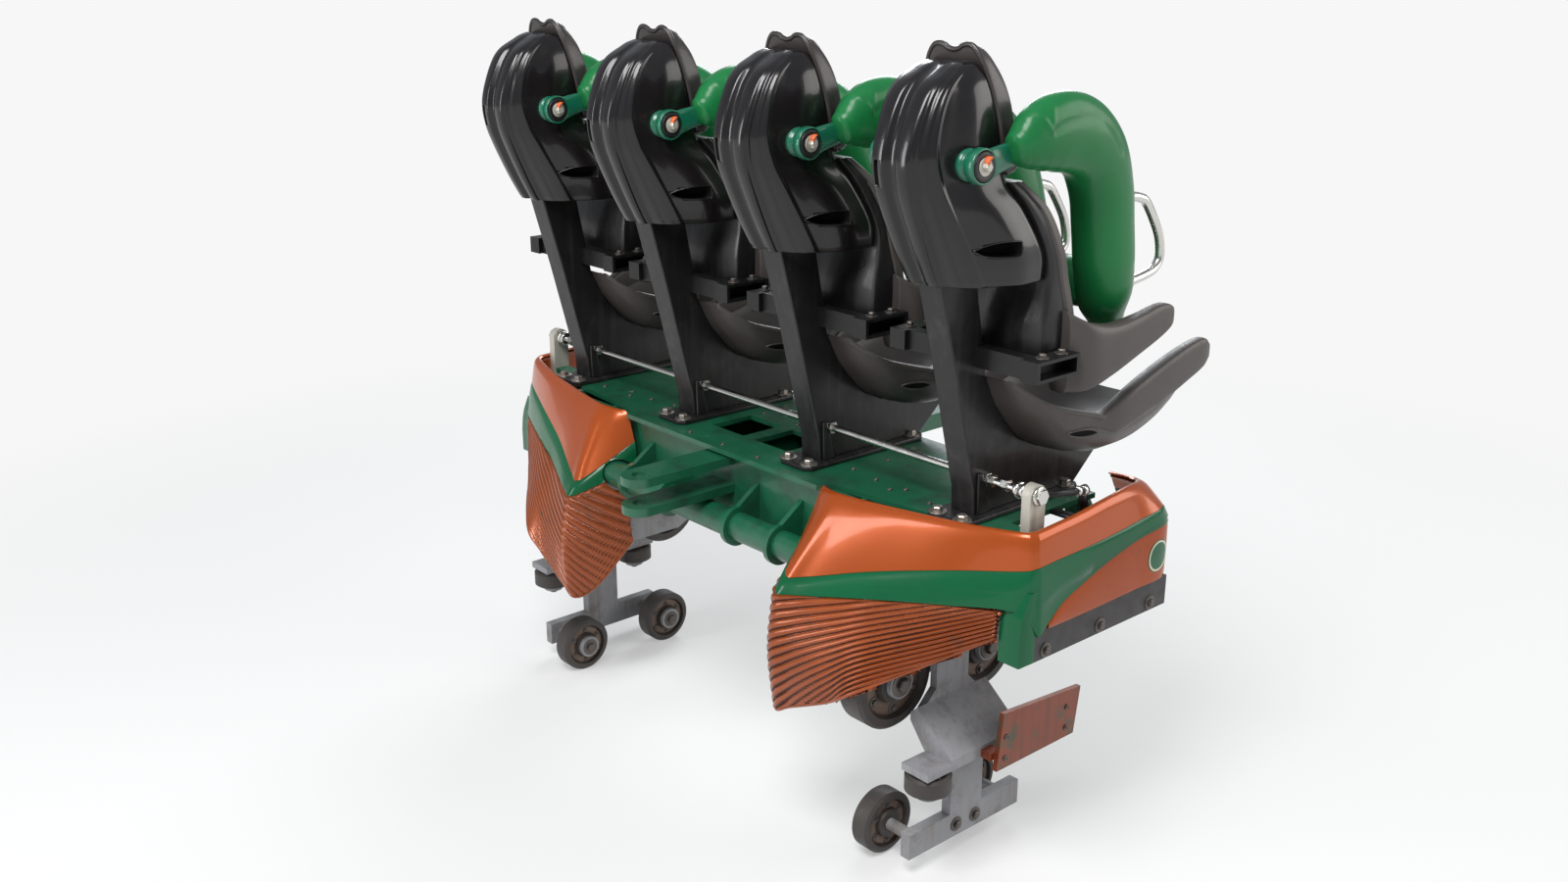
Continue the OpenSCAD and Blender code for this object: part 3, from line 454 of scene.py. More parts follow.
def shell_half(row):
    z, rear, front, ridge, wide = row
    depth, grow = front - rear, wide - ridge
    flank = curve_rows([
        (rear + 0.022 * depth, ridge - 1), (rear + 0.07 * depth, ridge + 5),
        (rear + 0.2 * depth, ridge + 0.4 * grow + 6), (rear + 0.4 * depth, ridge + 0.72 * grow),
        (front - 0.35 * depth, wide * 0.99), (front - 0.08 * depth, wide)], 64)
    ahead = np.gradient(flank, axis=0)
    ahead /= np.linalg.norm(ahead, axis=1)[:, None]
    s = np.concatenate([[0], np.cumsum(np.linalg.norm(np.diff(flank, axis=0), axis=1))])
    relief = terrace(s, (z - SHELL_LOW) / (SHELL_HIGH - SHELL_LOW))
    relief = relief * float(1 - 0.8 * smooth_step((z - 1035) / 50))
    flank = flank + np.stack([-ahead[:, 1], ahead[:, 0]], axis=1) * relief[:, None]
    groove = ridge * GROOVE
    deep = GROOVE_DEPTH - GROOVE_RISE * float(smooth_step((z - 1030) / 55))
    rear_half = [
        (rear + deep, 0), (rear + deep, groove - 4), (rear + deep - 2, groove - 1),
        (rear + 4, groove + 3), (rear + 1, groove + 6), (rear, groove + 10),
        (rear - 0.5, ridge * 0.6), (rear + 0.2, ridge - 9), (rear + 2, ridge - 4)]
    front_half = [(front - 2, wide * 0.97), (front, wide * 0.93), (front, wide * 0.5), (front, 0)]
    return [(x, w, z) for x, w in rear_half + [tuple(p) for p in flank] + front_half]


def mirrored(half):
    """A half outline from y 0 outward, and its mirror image, as one ring."""
    return [(x, -y, z) for x, y, z in half if y > 0.01][::-1] + list(half)


def make_shell(y):
    rows = curve_rows(SHELL, 62)
    crown = curve_rows([SHELL[-2], SHELL[-1], SHELL_CROWN], 9)[5:]
    rings = [mirrored(shell_half(row)) for row in np.concatenate([rows, crown])]
    # The lower rim is drawn in a little
    low = np.array(rings[0])
    middle = low.mean(axis=0)
    rings[:1] = [middle + (low - middle) * 0.975, middle + (low - middle) * 0.993 + [0, 0, 1.2],
                 low + [0, 0, 4]]
    shell = loft(rings, "shell_black", y)
    tree = surface(shell)
    cutters, extras = [], []
    for side in SIDES:
        near = [(x, side * (84 + (x + 92) * 0.42), z) for x, z in SLOT]
        far = [(x, side * 240, z) for x, z in SLOT]
        # The slot's cut walls take the cutter's near-black, matte finish as painted shade in the
        # recess
        cutters.append(loft([near, far], "dark_inlay_and_recess_shade", y))
        starts = place([(x, side * 400, z) for x, z in curve_rows(SLOT + SLOT[:1], 54)], y)
        rim = to_table(project(tree, starts, (0, -side, 0), -0.4), y)
        extras.append(sweep(rim, 1.8, "shell_black", 8, y))
        extras.append(turned(STUB, "arm_green", spot(PIVOT_X, 0, PIVOT_Z, y), (0, side, 0), 40))
    # The slit's cut walls take the same finish, also as painted shade
    cutters.append(prism(SLIT, *SLIT_Y, "dark_inlay_and_recess_shade", y))
    cut(shell, cutters)
    return [shell] + extras


for seat, y in SEATS:
    complete(f"shell_{seat}", make_shell(y), "shell_black", "seat_shells", first=seat == 1)

# Headrests: y, lower z, upper z, thickness at stations from the middle outward
HEAD = [
    [0, 831, 1110, 22], [16, 831, 1113, 23], [30, 831, 1119, 26], [44, 831, 1122, 30],
    [60, 832, 1118, 36], [78, 833, 1097, 44], [94, 836, 1059, 52], [106, 842, 1012, 54],
    [115, 850, 962, 46], [118, 862, 917, 28]]
HEAD_LOW = 831
HEAD_TILT = -52 / 254
LIP_R = 6.5
LIP_STEPS = 110


def head_x(z):
    """The headrest's rear face, which leans back."""
    return 12.3 + (z - HEAD_LOW) * HEAD_TILT


def head_ring(row, side):
    y, low, high, thick = row
    profile = [
        (0, low), (thick * 0.45, low + 1), (thick * 0.8, low + 5), (thick * 0.97, low + 14),
        (thick, low + (high - low) * 0.3), (thick, low + (high - low) * 0.55),
        (thick, low + (high - low) * 0.8), (thick * 0.97, high - 16), (thick * 0.8, high - 6),
        (thick * 0.45, high - 1), (0, high)]
    return [(head_x(z) + x, side * y, z) for x, z in profile]


def head_lip(y):
    """The rounded rim along the rear edge, from one pivot over the crown to the other."""
    half = [(head_x(high) + 4, w - 3 if w > 20 else w, high - 1) for w, _, high, _ in HEAD]
    half += [(head_x(880) + 5, 116, 884), (head_x(860) + 8, 114, 858), (head_x(846) + 12, 110, 842)]
    half = np.array(half)
    path = curve_rows(np.concatenate([half[:0:-1] * [1, -1, 1], half]), LIP_STEPS)
    ends = np.minimum(np.arange(LIP_STEPS), np.arange(LIP_STEPS)[::-1])
    radii = LIP_R * np.sqrt(np.clip((ends + 0.25) / 4, 0, 1))
    return sweep(path, radii, "headrest_dark", 14, y)


for seat, y in SEATS:
    half = curve_rows(HEAD, 34)
    rings = [head_ring(row, -1) for row in half[:0:-1]] + [head_ring(row, 1) for row in half]
    parts = [loft(rings, "headrest_dark", y), head_lip(y)]
    headrest = complete(f"headrest_{seat}", parts, "headrest_dark", "headrests",
                        first=seat == 1, edges=(0.006, 3, 35))

# Seat backs: height, rear x, front x at the middle, front x at the edge, half width
BACK = [[400, 100, 185, 225, 178], [500, 100, 165, 215, 180], [600, 118, 160, 190, 176],
        [673, 100, 135, 165, 178], [767, 52, 95, 118, 165], [829, 14, 62, 60, 135]]
# The back's rear side is black up to the seam of the grey edge strip: heights and x
REAR_BLACK = ([400, 500, 600, 673, 767, 829], [190, 180, 155, 130, 83, 38])
REAR_BLACK_X, REAR_BLACK_HALF_W = 150, 176
EDGE_STRIP = 34
# Wings beside the hips and the thighs: x, lower z, upper z, inner y, outer y
WING = [
    [166, 330, 528, 140, 200], [213, 335, 500, 165, 236], [290, 361, 484, 190, 244],
    [376, 393, 493, 204, 246], [464, 425, 508, 210, 246], [505, 446, 500, 214, 244],
    [517, 462, 482, 220, 238]]
THIGH = [
    [232, 238, 258, 186, 206], [290, 226, 262, 188, 219], [340, 210, 286, 192, 232],
    [400, 225, 318, 196, 238], [512, 258, 359, 200, 242], [600, 290, 384, 204, 243],
    [660, 314, 392, 208, 243], [686, 334, 376, 214, 238]]
WING_POINTS = 28
WING_POWER = 2 / 4.5


def back_ring(row):
    z, rear, middle, edge, wide = row
    seam = max(rear + 26, edge - EDGE_STRIP)
    half = [
        (middle, 0), (middle + 1, wide * 0.25), (middle + (edge - middle) * 0.15, wide * 0.45),
        (middle + (edge - middle) * 0.6, wide * 0.65), (edge - 3, wide * 0.78), (edge, wide * 0.86),
        (edge - 4, wide * 0.95), (edge - 12, wide + 1), (seam + 2, wide + 1), (seam, wide - 1),
        (seam - 2, wide - 5), (rear + 12, wide - 5), (rear + 4, wide * 0.95), (rear, wide * 0.88)]
    return mirrored([(x, w, z) for x, w in half])


def wing_ring(row, side):
    """A section across x with a rounded outline."""
    x, z0, z1, y0, y1 = row
    c, d = (np.sign(v) * np.abs(v) ** WING_POWER for v in circle(WING_POINTS))
    return np.stack([np.full(WING_POINTS, x), side * ((y0 + y1) / 2 + (y1 - y0) / 2 * c),
                     (z0 + z1) / 2 + (z1 - z0) / 2 * d], axis=1)


def make_wings(table, y):
    rows = curve_rows(table, 34)
    x, z0, z1, y0, y1 = rows[-1]
    tip = [x + 6, (z0 + z1) / 2 - 8, (z0 + z1) / 2 + 8, y0 + 5, y1 - 5]
    return [loft([wing_ring(row, side) for row in list(rows) + [tip]], "seat_grey", y)
            for side in SIDES]


for seat, y in SEATS:
    back = loft([back_ring(row) for row in curve_rows(BACK, 36)], "seat_grey", y)
    paint(back, "post_black", lambda c: (np.abs(c[:, 1] - y / MM) < REAR_BLACK_HALF_W) & (
        c[:, 0] < np.minimum(REAR_BLACK_X, np.interp(c[:, 2], *REAR_BLACK))))
    complete(f"seat_back_{seat}", [back] + make_wings(WING, y), "seat_grey", "seat_backs",
             first=seat == 1, edges=(0.004, 3, 35))

# Seat pans: x, underside z, rim z, half width
PAN = [[70, 352, 362, 120], [105, 285, 328, 165], [145, 235, 306, 190], [200, 180, 288, 206],
       [270, 146, 268, 216], [340, 134, 250, 222], [430, 140, 262, 226], [520, 168, 290, 228],
       [590, 206, 318, 226]]
PAN_WALL = 22
# The lens-shaped dark inlay low on the pan's side: middle in x and z, and half length
EYE_AT = (238, 222)
EYE_HALF = 42
EYE_STEPS = 36


def pan_ring(row):
    x, under, rim, wide = row
    floor = min(rim - 4, under + PAN_WALL)
    high, deep = rim - under, rim - floor
    outer = [(wide + 2, rim - 2), (wide + 2.5, rim - 6), (wide + 2, rim - 11),
             (wide - 1.5, rim - 14), (wide * 0.97, under + high * 0.62),
             (wide * 0.88, under + high * 0.3), (wide * 0.7, under + high * 0.11),
             (wide * 0.5, under + 3), (wide * 0.35, under)]
    inner = [(wide * 0.3, floor + 1), (wide * 0.5, floor + deep * 0.12),
             (wide * 0.7, floor + deep * 0.34), (wide - PAN_WALL - 8, rim - deep * 0.3),
             (wide - PAN_WALL, rim - 4), (wide - PAN_WALL + 5, rim), (wide - 3, rim)]
    right = [(0, floor)] + inner + outer + [(0, under)]
    left = [(-a, b) for a, b in (inner + outer)[::-1]]
    return [(x, a, b) for a, b in right + left]


def make_eye(tree, y, side):
    """The inlay, which follows the pan's side, and its raised rim."""
    t = np.linspace(0, 2 * math.pi, EYE_STEPS + 1)
    shape = np.stack([EYE_HALF * np.cos(t), np.zeros(EYE_STEPS + 1),
                      -4 * np.cos(t) + 11 * np.sin(t) * np.abs(np.sin(t)) ** 0.4], axis=1)
    rings = []
    for share in (1.0, 0.7, 0.35, 0.05):
        starts = place(shape * share + [EYE_AT[0], side * 400, EYE_AT[1]], y)
        rings.append(np.array(project(tree, starts, (0, -side, 0), 0.8)))
    verts = np.concatenate([ring[:-1] for ring in rings])
    faces = ring_faces(len(rings), EYE_STEPS, False)
    faces.append(tuple(range(len(verts) - EYE_STEPS, len(verts))))
    inlay = new_part(verts, faces, "dark_inlay_and_recess_shade")
    return [sweep(to_table(rings[0], y), 2.6, "seat_grey", 8, y), inlay]


for seat, y in SEATS:
    bowl = loft([pan_ring(row) for row in curve_rows(PAN, 44)], "seat_grey", y)
    tree = surface(bowl)
    eyes = [part for side in SIDES for part in make_eye(tree, y, side)]
    complete(f"seat_pan_{seat}", [bowl] + make_wings(THIGH, y) + eyes, "seat_grey", "seat_pans",
             first=seat == 1, edges=(0.003, 2, 40))

# Posts: the side outline above the flange, which follows the pan's underside, the flange, and the
# welded plates that stiffen the foot
POST_W = 75
POST = [(44, 12), (40, 74), (-38, 384), (-98, 602), (22, 602), (60, 406)] + [
    (row[0], row[1] + 0.5) for row in PAN] + [(600, 164), (430, 12)]
FLANGE_T = 14
FLANGE = [(-26, 44), (-10, 64), (410, 64), (430, 44), (430, -44), (410, -64), (-10, -64),
          (-26, -44)]
FOOT_RIB = [(52, 12), (48, 120), (64, 120), (92, 12)]

for seat, y in SEATS:
    parts = [prism(POST, -POST_W / 2, POST_W / 2, "post_black", y),
             loft([[(a, b, z) for a, b in FLANGE] for z in (0, FLANGE_T)], "post_black", y)]
    parts += [prism(FOOT_RIB, s * 37, s * 46, "post_black", y) for s in SIDES]
    complete(f"seat_post_{seat}", parts, "post_black", "seat_posts", first=seat == 1,
             edges=(0.0045, 3, 20))

# Harness tubes: x, y, z, half width, half thickness
HARNESS = [
    [-8, 167, 906, 33, 42], [10, 169, 913, 39, 57], [42, 171, 925, 45, 74], [90, 173, 935, 48, 86],
    [150, 170, 932, 52, 90], [215, 162, 912, 61, 89], [280, 150, 863, 66, 85],
    [326, 140, 785, 66, 80], [352, 132, 695, 66, 78], [374, 126, 600, 66, 76],
    [398, 116, 520, 62, 68], [420, 106, 466, 46, 44]]
TUBE_SIDES = 64
TUBE_POWER = 2.3
# Sections that close a tube's end, from the tip inward: share of the full section, and of the reach
TUBE_END = [(0.45, 1.0), (0.78, 0.8), (0.94, 0.45)]
# A crease and a hook-shaped emboss on the tubes' outer sides, in x and z, with relief and width
CREASE = [(50, 945), (80, 957), (130, 965), (180, 966), (228, 955), (268, 925), (300, 880)]
HOOK = [(14, 985), (28, 964), (42, 944), (47, 968), (52, 1000), (50, 1012)]
RELIEFS = [(CREASE, -3.8, 6.5), (HOOK, 3.6, 5.0)]
# The lobe over the lap: x and z of its axis, its radius, and y with a share of the radius
BELLY_X, BELLY_Z, BELLY_R = 385, 545, 62
BELLY = [(-80, 0.9), (-60, 0.98), (-30, 1.0), (-8, 0.99), (0, 0.96), (8, 0.99), (30, 1.0),
         (60, 0.98), (80, 0.9)]
BELLY_STEPS = 40


def distance_to(line, x, z):
    """How far points lie from a line of segments, in x and z."""
    best = np.full(x.shape, 1e9)
    for (x0, z0), (x1, z1) in zip(line, line[1:]):
        dx, dz = x1 - x0, z1 - z0
        t = np.clip(((x - x0) * dx + (z - z0) * dz) / (dx * dx + dz * dz), 0, 1)
        best = np.minimum(best, np.hypot(x - x0 - t * dx, z - z0 - t * dz))
    return best


def harness_rings(side):
    rows = curve_rows(HARNESS, 120)
    ahead = np.gradient(rows[:, [0, 2]], axis=0)
    ahead /= np.linalg.norm(ahead, axis=1)[:, None]
    c, d = squircle(TUBE_SIDES, TUBE_POWER)
    rings = []
    for (x, y, z, half_w, half_t), (tx, tz) in zip(rows, ahead):
        px, pz = x - half_t * c * tz, z + half_t * c * tx
        out = half_w * d
        outer = smooth_step(d * 2 - 0.5)
        for line, relief, width in RELIEFS:
            out = out + relief * outer * np.exp(-(distance_to(line, px, pz) / width) ** 2)
        rings.append(np.stack([px, side * (y + out), pz], axis=1))
    return rings


def rounded_end(ring, reach):
    centre = ring.mean(axis=0)
    return [centre + (ring - centre) * share + np.array(reach) * far for share, far in TUBE_END]


def make_harness(y):
    pieces = []
    for side in SIDES:
        rings = harness_rings(side)
        rings = (rounded_end(rings[0], (-16, 0, -4)) + rings
                 + rounded_end(rings[-1], (7, 0, -16))[::-1])
        pieces.append(loft(rings, "harness_green", y))
    c, d = circle(BELLY_STEPS)
    belly = [np.stack([BELLY_X + BELLY_R * share * c, np.full(BELLY_STEPS, w),
                       BELLY_Z + BELLY_R * share * d], axis=1) for w, share in BELLY]
    return pieces + [loft(belly, "harness_green", y)]


for seat, y in SEATS:
    harness = complete(f"harness_pad_{seat}", make_harness(y), "harness_green",
                       f"harness_{seat}", body=f"restraint_{seat}")

# Pivot arms: a turned sleeve and flanged boss, and a lug that tapers into the tube. Lug sections:
# x and z of the middle from the pivot, half height, half thickness
BOSS = [(26, 121.3), (29, 121.3), (31, 123), (31, 132), (33, 134.6), (38.5, 135), (40, 136.5),
        (40, 154), (38.6, 156.4), (36.2, 157), (34.4, 155.6), (33.8, 152), (8, 152)]
BOSS_WASHER = [(10, 150), (31.5, 150), (33, 152), (33, 156.5), (31.5, 158.5), (27, 159),
               (17, 157.5), (10, 157.5)]
ARM_LUG = [[6, -2, 34, 9], [30, 4, 31.5, 10.5], [58, 11, 29, 11], [88, 17, 27, 11.5],
           [118, 22, 25, 11.5], [150, 28, 20, 10]]
ARM_Y = 146
# A dab of paint across the bolt and the washer shows if it turns: x and z from the pivot
DAB = [(-7, 5), (-3, 4), (-2, 11), (3, 17), (9, 19), (6, 23), (-1, 21), (-6, 14)]


def make_arm(side, y):
    at, axis = spot(PIVOT_X, 0, PIVOT_Z, y), (0, side, 0)
    boss = turned(BOSS, "arm_green", at, axis, 56)
    c, d = squircle(28, 3)
    rings = [np.stack([PIVOT_X + dx - half_h * c * 0.2, side * (ARM_Y + half_t * d),
                       PIVOT_Z + dz + half_h * c], axis=1)
             for dx, dz, half_h, half_t in curve_rows(ARM_LUG, 20)]
    lug = loft(rings, "arm_green", y)
    washer = turned(BOSS_WASHER, "washer_black", at, axis, 48)
    head = bolt(at + Vector((0, side * 0.1575, 0)), axis, 20, 12, "link_steel")
    mark = prism([(PIVOT_X + dx, PIVOT_Z + dz) for dx, dz in DAB], side * 158, side * 172.2,
                 "mark_orange", y)
    return [boss, lug, washer, head, mark]


for seat, y in SEATS:
    arms = [part for side in SIDES for part in make_arm(side, y)]
    complete(f"pivot_arms_{seat}", arms, "arm_green", f"arms_{seat}", body=f"restraint_{seat}")

# Grab handles: x and z along the tube's route, and its collars where it enters the foam
HANDLE = [[370, 764], [420, 760], [470, 752], [500, 736], [548, 672], [566, 632], [570, 596],
          [556, 574], [530, 562], [470, 552], [400, 548]]
HANDLE_Y = 146
HANDLE_R = 12
COLLARS = [(424, 759.5), (448, 550)]
COLLAR = [(12, -7), (17, -6), (18, -4), (18, 3), (16.5, 5), (12, 6)]

for seat, y in SEATS:
    parts = []
    for w in (-HANDLE_Y, HANDLE_Y):
        route = curve_rows([[x, w, z] for x, z in HANDLE], 70)
        parts.append(sweep(route, HANDLE_R, "bright_steel", 20, y))
        parts += [turned(COLLAR, "bright_steel", spot(x, w, z, y), (1, 0, -0.1), 28)
                  for x, z in COLLARS]
    complete(f"grab_handles_{seat}", parts, "bright_steel", f"handles_{seat}",
             body=f"restraint_{seat}")

# Fairing stations on the right: x, distance inward and z at the rim, at the cap's lower edge and at
# the band's lower edge
FAIRING = [
    [[-62, 650, 4], [-58, 688, -85], [-60, 700, -160]],
    [[-84, 610, 9], [-150, 655, -145], [-165, 668, -198]],
    [[-92, 561, 12], [-221, 618, -191], [-250, 626, -231]],
    [[-80, 480, 13], [-205, 560, -183], [-238, 566, -226]],
    [[-55, 330, 18], [-135, 390, -134], [-165, 388, -198]],
    [[-26, 180, 24], [-66, 190, -86], [-95, 190, -168]],
    [[10, 52, 31], [-6, 34, -56], [-26, 26, -152]],
    [[34, 26, 34], [22, 4, -47], [24, -6, -222]],
    [[90, 24, 37], [90, 4, -44], [103, -4, -160]],
    [[190, 26, 42], [190, 5, -42], [193, -2, -127]],
    [[300, 32, 50], [300, 8, -38], [302, 2, -98]],
    [[410, 46, 52], [415, 12, -30], [417, 6, -78]],
    [[490, 70, 42], [520, 20, -24], [537, 12, -68]],
    [[526, 110, 32], [562, 66, -24], [576, 60, -67]],
    [[532, 190, 26], [568, 190, -24], [580, 190, -67]]]
# The station at the fairing's outer rear corner
CORNER = 7
# Profiles of the faces at a station: share of the way down, and distance outward
CAP_FACE = [(0, -12), (0, -5), (0, 0), (0.05, 4), (0.14, 7.5), (0.3, 7.5), (0.55, 5), (0.8, 2.5),
            (1, 0)]
# How far down the band its ledge runs, at stations in x
BAND_LEDGE = ([24, 103, 193, 302, 417, 537], [0.58, 0.66, 0.78, 0.86, 0.76, 0.72])
# The band's tab at the corner: z and rear x
TAB = [(-286, -36), (-284, -36), (-215, -36), (-175, -32), (-145, -25), (-105, -8)]
# The ribbed panel's stations, from the band down to its lower edge
PANEL = [
    [[-60, 700, -161], [-90, 696, -300], [-80, 690, -400]],
    [[-165, 668, -199], [-205, 664, -360], [-190, 662, -520]],
    [[-250, 626, -232], [-268, 624, -390], [-250, 622, -560]],
    [[-238, 566, -227], [-264, 562, -370], [-254, 560, -530]],
    [[-178, 430, -207], [-228, 430, -330], [-246, 430, -468]],
    [[-150, 345, -193], [-200, 345, -300], [-238, 345, -412]],
    [[-92, 190, -169], [-112, 190, -240], [-126, 190, -308]],
    [[-40, 68, -158], [-44, 68, -186], [-46, 68, -224]]]
RIBS = 13
RIB_DEPTH = 8
RIB_ROUND = 2.1
RIB_GRID = (96, 260)
# How far from a rib line a face must lie to get the painted shade of the grooves, in steps between
# the lines
SHADED_GROOVE_LEVEL = 0.43
# Rib lines: where they are given, in x and inward, then height there and slopes, of the lowest line
# and of the whole fan above it
RIB_AT = (-40, 68)
RIB_BASE = (-210, -0.765, -0.968)
RIB_FAN = (130, 0.29, 0.487)
# The side panel: x, distance inward, upper z, lower z
SIDE = [
    [60, -4, -195, -209], [103, -4, -161, -210], [193, -2, -128, -212], [302, 2, -99, -214],
    [417, 6, -79, -215], [537, 12, -69, -217], [576, 60, -68, -217], [580, 190, -68, -217]]
# Opening round the cross tube at the fairings' inner ends: x, z, radius, and how far in it begins
TUBE_HOLE = (-114, -180, 47)
HOLE_REACH = 560
# Blank round plate on the side panel: x, inward, z, its rings' radius and lift, and its pale ring
PLATE_AT = (502, 10, -146)
PLATE = [(3, 1.2), (12, 1.2), (22, 1.2), (32, 1.2), (36, 1.3), (37, 1.6), (40, 1.6), (41, 1.3),
         (43, 1.0), (43.6, -0.6)]
PLATE_POINTS = 48
PALE_FROM, PALE_TO = 36.2, 40.8


def at_side(points):
    """Stations (x, inward, z) as x, y, z on the right-hand side."""
    return np.array(points, dtype=float) - [0, FAIRING_HALF_W, 0]


def grid_normals(grid):
    """Unit normals of a grid of points, out of the fairing's face."""
    n = np.cross(np.gradient(grid, axis=1), np.gradient(grid, axis=0))
    return n / np.linalg.norm(n, axis=2)[..., None]


def skin(grid, material, flip, hole=None):
    """A moulded skin in millimetres: the grid is its face on the right, its thickness goes behind
    it, and flip brings both to their side. hole is the x, z and radius of a round opening through
    its inner end."""
    grid = np.array(grid, dtype=float)
    m, k = grid.shape[:2]
    keep = np.ones((m - 1, k - 1), dtype=bool)
    if hole is not None:
        axis, radius = np.array(hole[:2]), hole[2]
        cells = (grid[:-1, :-1] + grid[1:, :-1] + grid[:-1, 1:] + grid[1:, 1:]) / 4
        inner = cells[..., 1] > HOLE_REACH - FAIRING_HALF_W
        keep = ~(inner & (np.linalg.norm(cells[..., [0, 2]] - axis, axis=2) < radius))
        # Points on the opening's edge, which have kept and dropped cells, move onto its circle
        around = np.zeros((m, k), dtype=int)
        for di in (0, 1):
            for dj in (0, 1):
                around[di:m - 1 + di, dj:k - 1 + dj] += np.where(keep, 1, 16)
        edge = (around > 16) & (around % 16 > 0)
        off = grid[..., [0, 2]] - axis
        onto = axis + off * (radius / np.maximum(np.linalg.norm(off, axis=2), 1e-3))[..., None]
        grid[edge, 0], grid[edge, 2] = onto[edge][:, 0], onto[edge][:, 1]
    normals = grid_normals(grid)
    # Along its top and bottom edge the skin is level, as in the joints with its neighbours
    for row in (0, -1):
        normals[:, row, 2] = 0
    normals /= np.linalg.norm(normals, axis=2)[..., None]
    back = grid - SKIN_T * normals
    behind = m * k
    verts = place(np.concatenate([grid.reshape(-1, 3), back.reshape(-1, 3)]) * flip)
    faces, count = [], {}
    for i, j in np.argwhere(keep):
        a, b = int(i * k + j), int((i + 1) * k + j)
        ring = [a, a + 1, b + 1, b]
        faces.append(tuple(ring))
        faces.append(tuple(v + behind for v in ring[::-1]))
        for pair in zip(ring, ring[1:] + ring[:1]):
            pair = tuple(sorted(pair))
            count[pair] = count.get(pair, 0) + 1
    # Walls join face and back wherever an edge has a cell on one side only
    faces += [(u, v, v + behind, u + behind) for (u, v), times in count.items() if times == 1]
    used = sorted({v for face in faces for v in face})
    renamed = {v: n for n, v in enumerate(used)}
    return new_part(verts[used], [tuple(renamed[v] for v in face) for face in faces], material)


def face_row(top, low, profile):
    """The points of a profile at one station, between its upper and its lower point."""
    flat = (low - top) * [1, 1, 0]
    out = flat / max(np.linalg.norm(flat), 1e-3)
    return [top + (low - top) * share + lift * out for share, lift in profile]


def cap_face(stations):
    rows = np.array([face_row(rim, low, CAP_FACE) for rim, low, _ in stations])
    rows[:, 0, 2] -= 4
    return rows


def band_face(stations):
    """The band's face at each station, with a ledge along its lower part on the car's side."""
    rows = []
    for _, top, low in stations:
        side = float(smooth_step((low[0] - 20) / 60))
        ledge = np.interp(low[0], *BAND_LEDGE)
        rows.append(face_row(top - [0, 0, 1], low, [
            (0, 0), (0.08, 2.5), (0.3, 3.5), (0.5, 3 + side), (ledge - 0.03, 2.6 + 1.8 * side),
            (ledge + 0.03, 2 - 2.2 * side), (0.94, 1.2 - 1.2 * side), (1, 0)]))
    return np.array(rows)


def smooth_stations(table, count, corner=None):
    """Stations smoothed to about count of them, in two stretches where the table has a corner."""
    rows = at_side(table)
    flat = rows.reshape(len(rows), -1)
    if corner is None:
        smoothed = curve_rows(flat, count)
    else:
        share = corner / (len(flat) - 1)
        smoothed = np.concatenate([curve_rows(flat[:corner + 1], round(count * share)),
                                   curve_rows(flat[corner:], round(count * (1 - share)))[1:]])
    return smoothed.reshape(-1, rows.shape[1], 3)


def rib_level(p):
    """Which rib line passes through a point, counted up from the lowest, on the panel's face."""
    dx = p[..., 0] - RIB_AT[0]
    dy = p[..., 1] + FAIRING_HALF_W - RIB_AT[1]
    base, fan = (height + a * dx + b * dy for height, a, b in (RIB_BASE, RIB_FAN))
    return (p[..., 2] - base) / (fan / (RIBS - 1))


def off_line(p):
    """How far a point lies from the nearest rib line, in steps between them."""
    level = rib_level(p)
    return np.abs(level - np.round(level))


def ribbed_grid():
    count, rows = RIB_GRID
    grid = np.stack([curve_rows(s, rows) for s in smooth_stations(PANEL, count)])
    wave = np.sqrt(np.clip(1 - (RIB_ROUND * off_line(grid)) ** 2, 0, 1))
    wave *= np.clip(np.minimum(np.arange(rows), np.arange(rows)[::-1]) / 4, 0, 1)
    return grid + grid_normals(grid) * (wave * RIB_DEPTH)[..., None]


def round_plate(tree, y_sign):
    x, inward, z = PLATE_AT
    centre = spot(x, y_sign * (FAIRING_HALF_W - inward), z)
    n = Vector((0.06, y_sign, 0)).normalized()
    u = n.cross(Vector(UP)).normalized()
    v = n.cross(u)
    verts = []
    for r, lift in PLATE:
        points = [centre + (u * c + v * d) * r * MM + n * 0.2
                  for c, d in zip(*circle(PLATE_POINTS))]
        verts += project(tree, points, -n, lift)
    faces = ring_faces(len(PLATE), PLATE_POINTS, False) + [tuple(range(PLATE_POINTS))]
    plate = new_part(verts, faces, "band_green")
    middle = to_table(np.mean(verts[:PLATE_POINTS], axis=0))
    paint(plate, "pale_ring", lambda c: np.abs(
        np.linalg.norm(c - middle, axis=1) - (PALE_FROM + PALE_TO) / 2) < (PALE_TO - PALE_FROM) / 2)
    return plate


stations = smooth_stations(FAIRING, 124, CORNER)
ribbed = ribbed_grid()
side_face = at_side([
    [(x, w + 2, top), (x, w + 0.2, top - (top - low) * 0.1), (x, w - 1, (top + low) / 2),
     (x, w + 0.2, low + (top - low) * 0.1), (x, w + 2, low)]
    for x, w, top, low in curve_rows(SIDE, 56)])

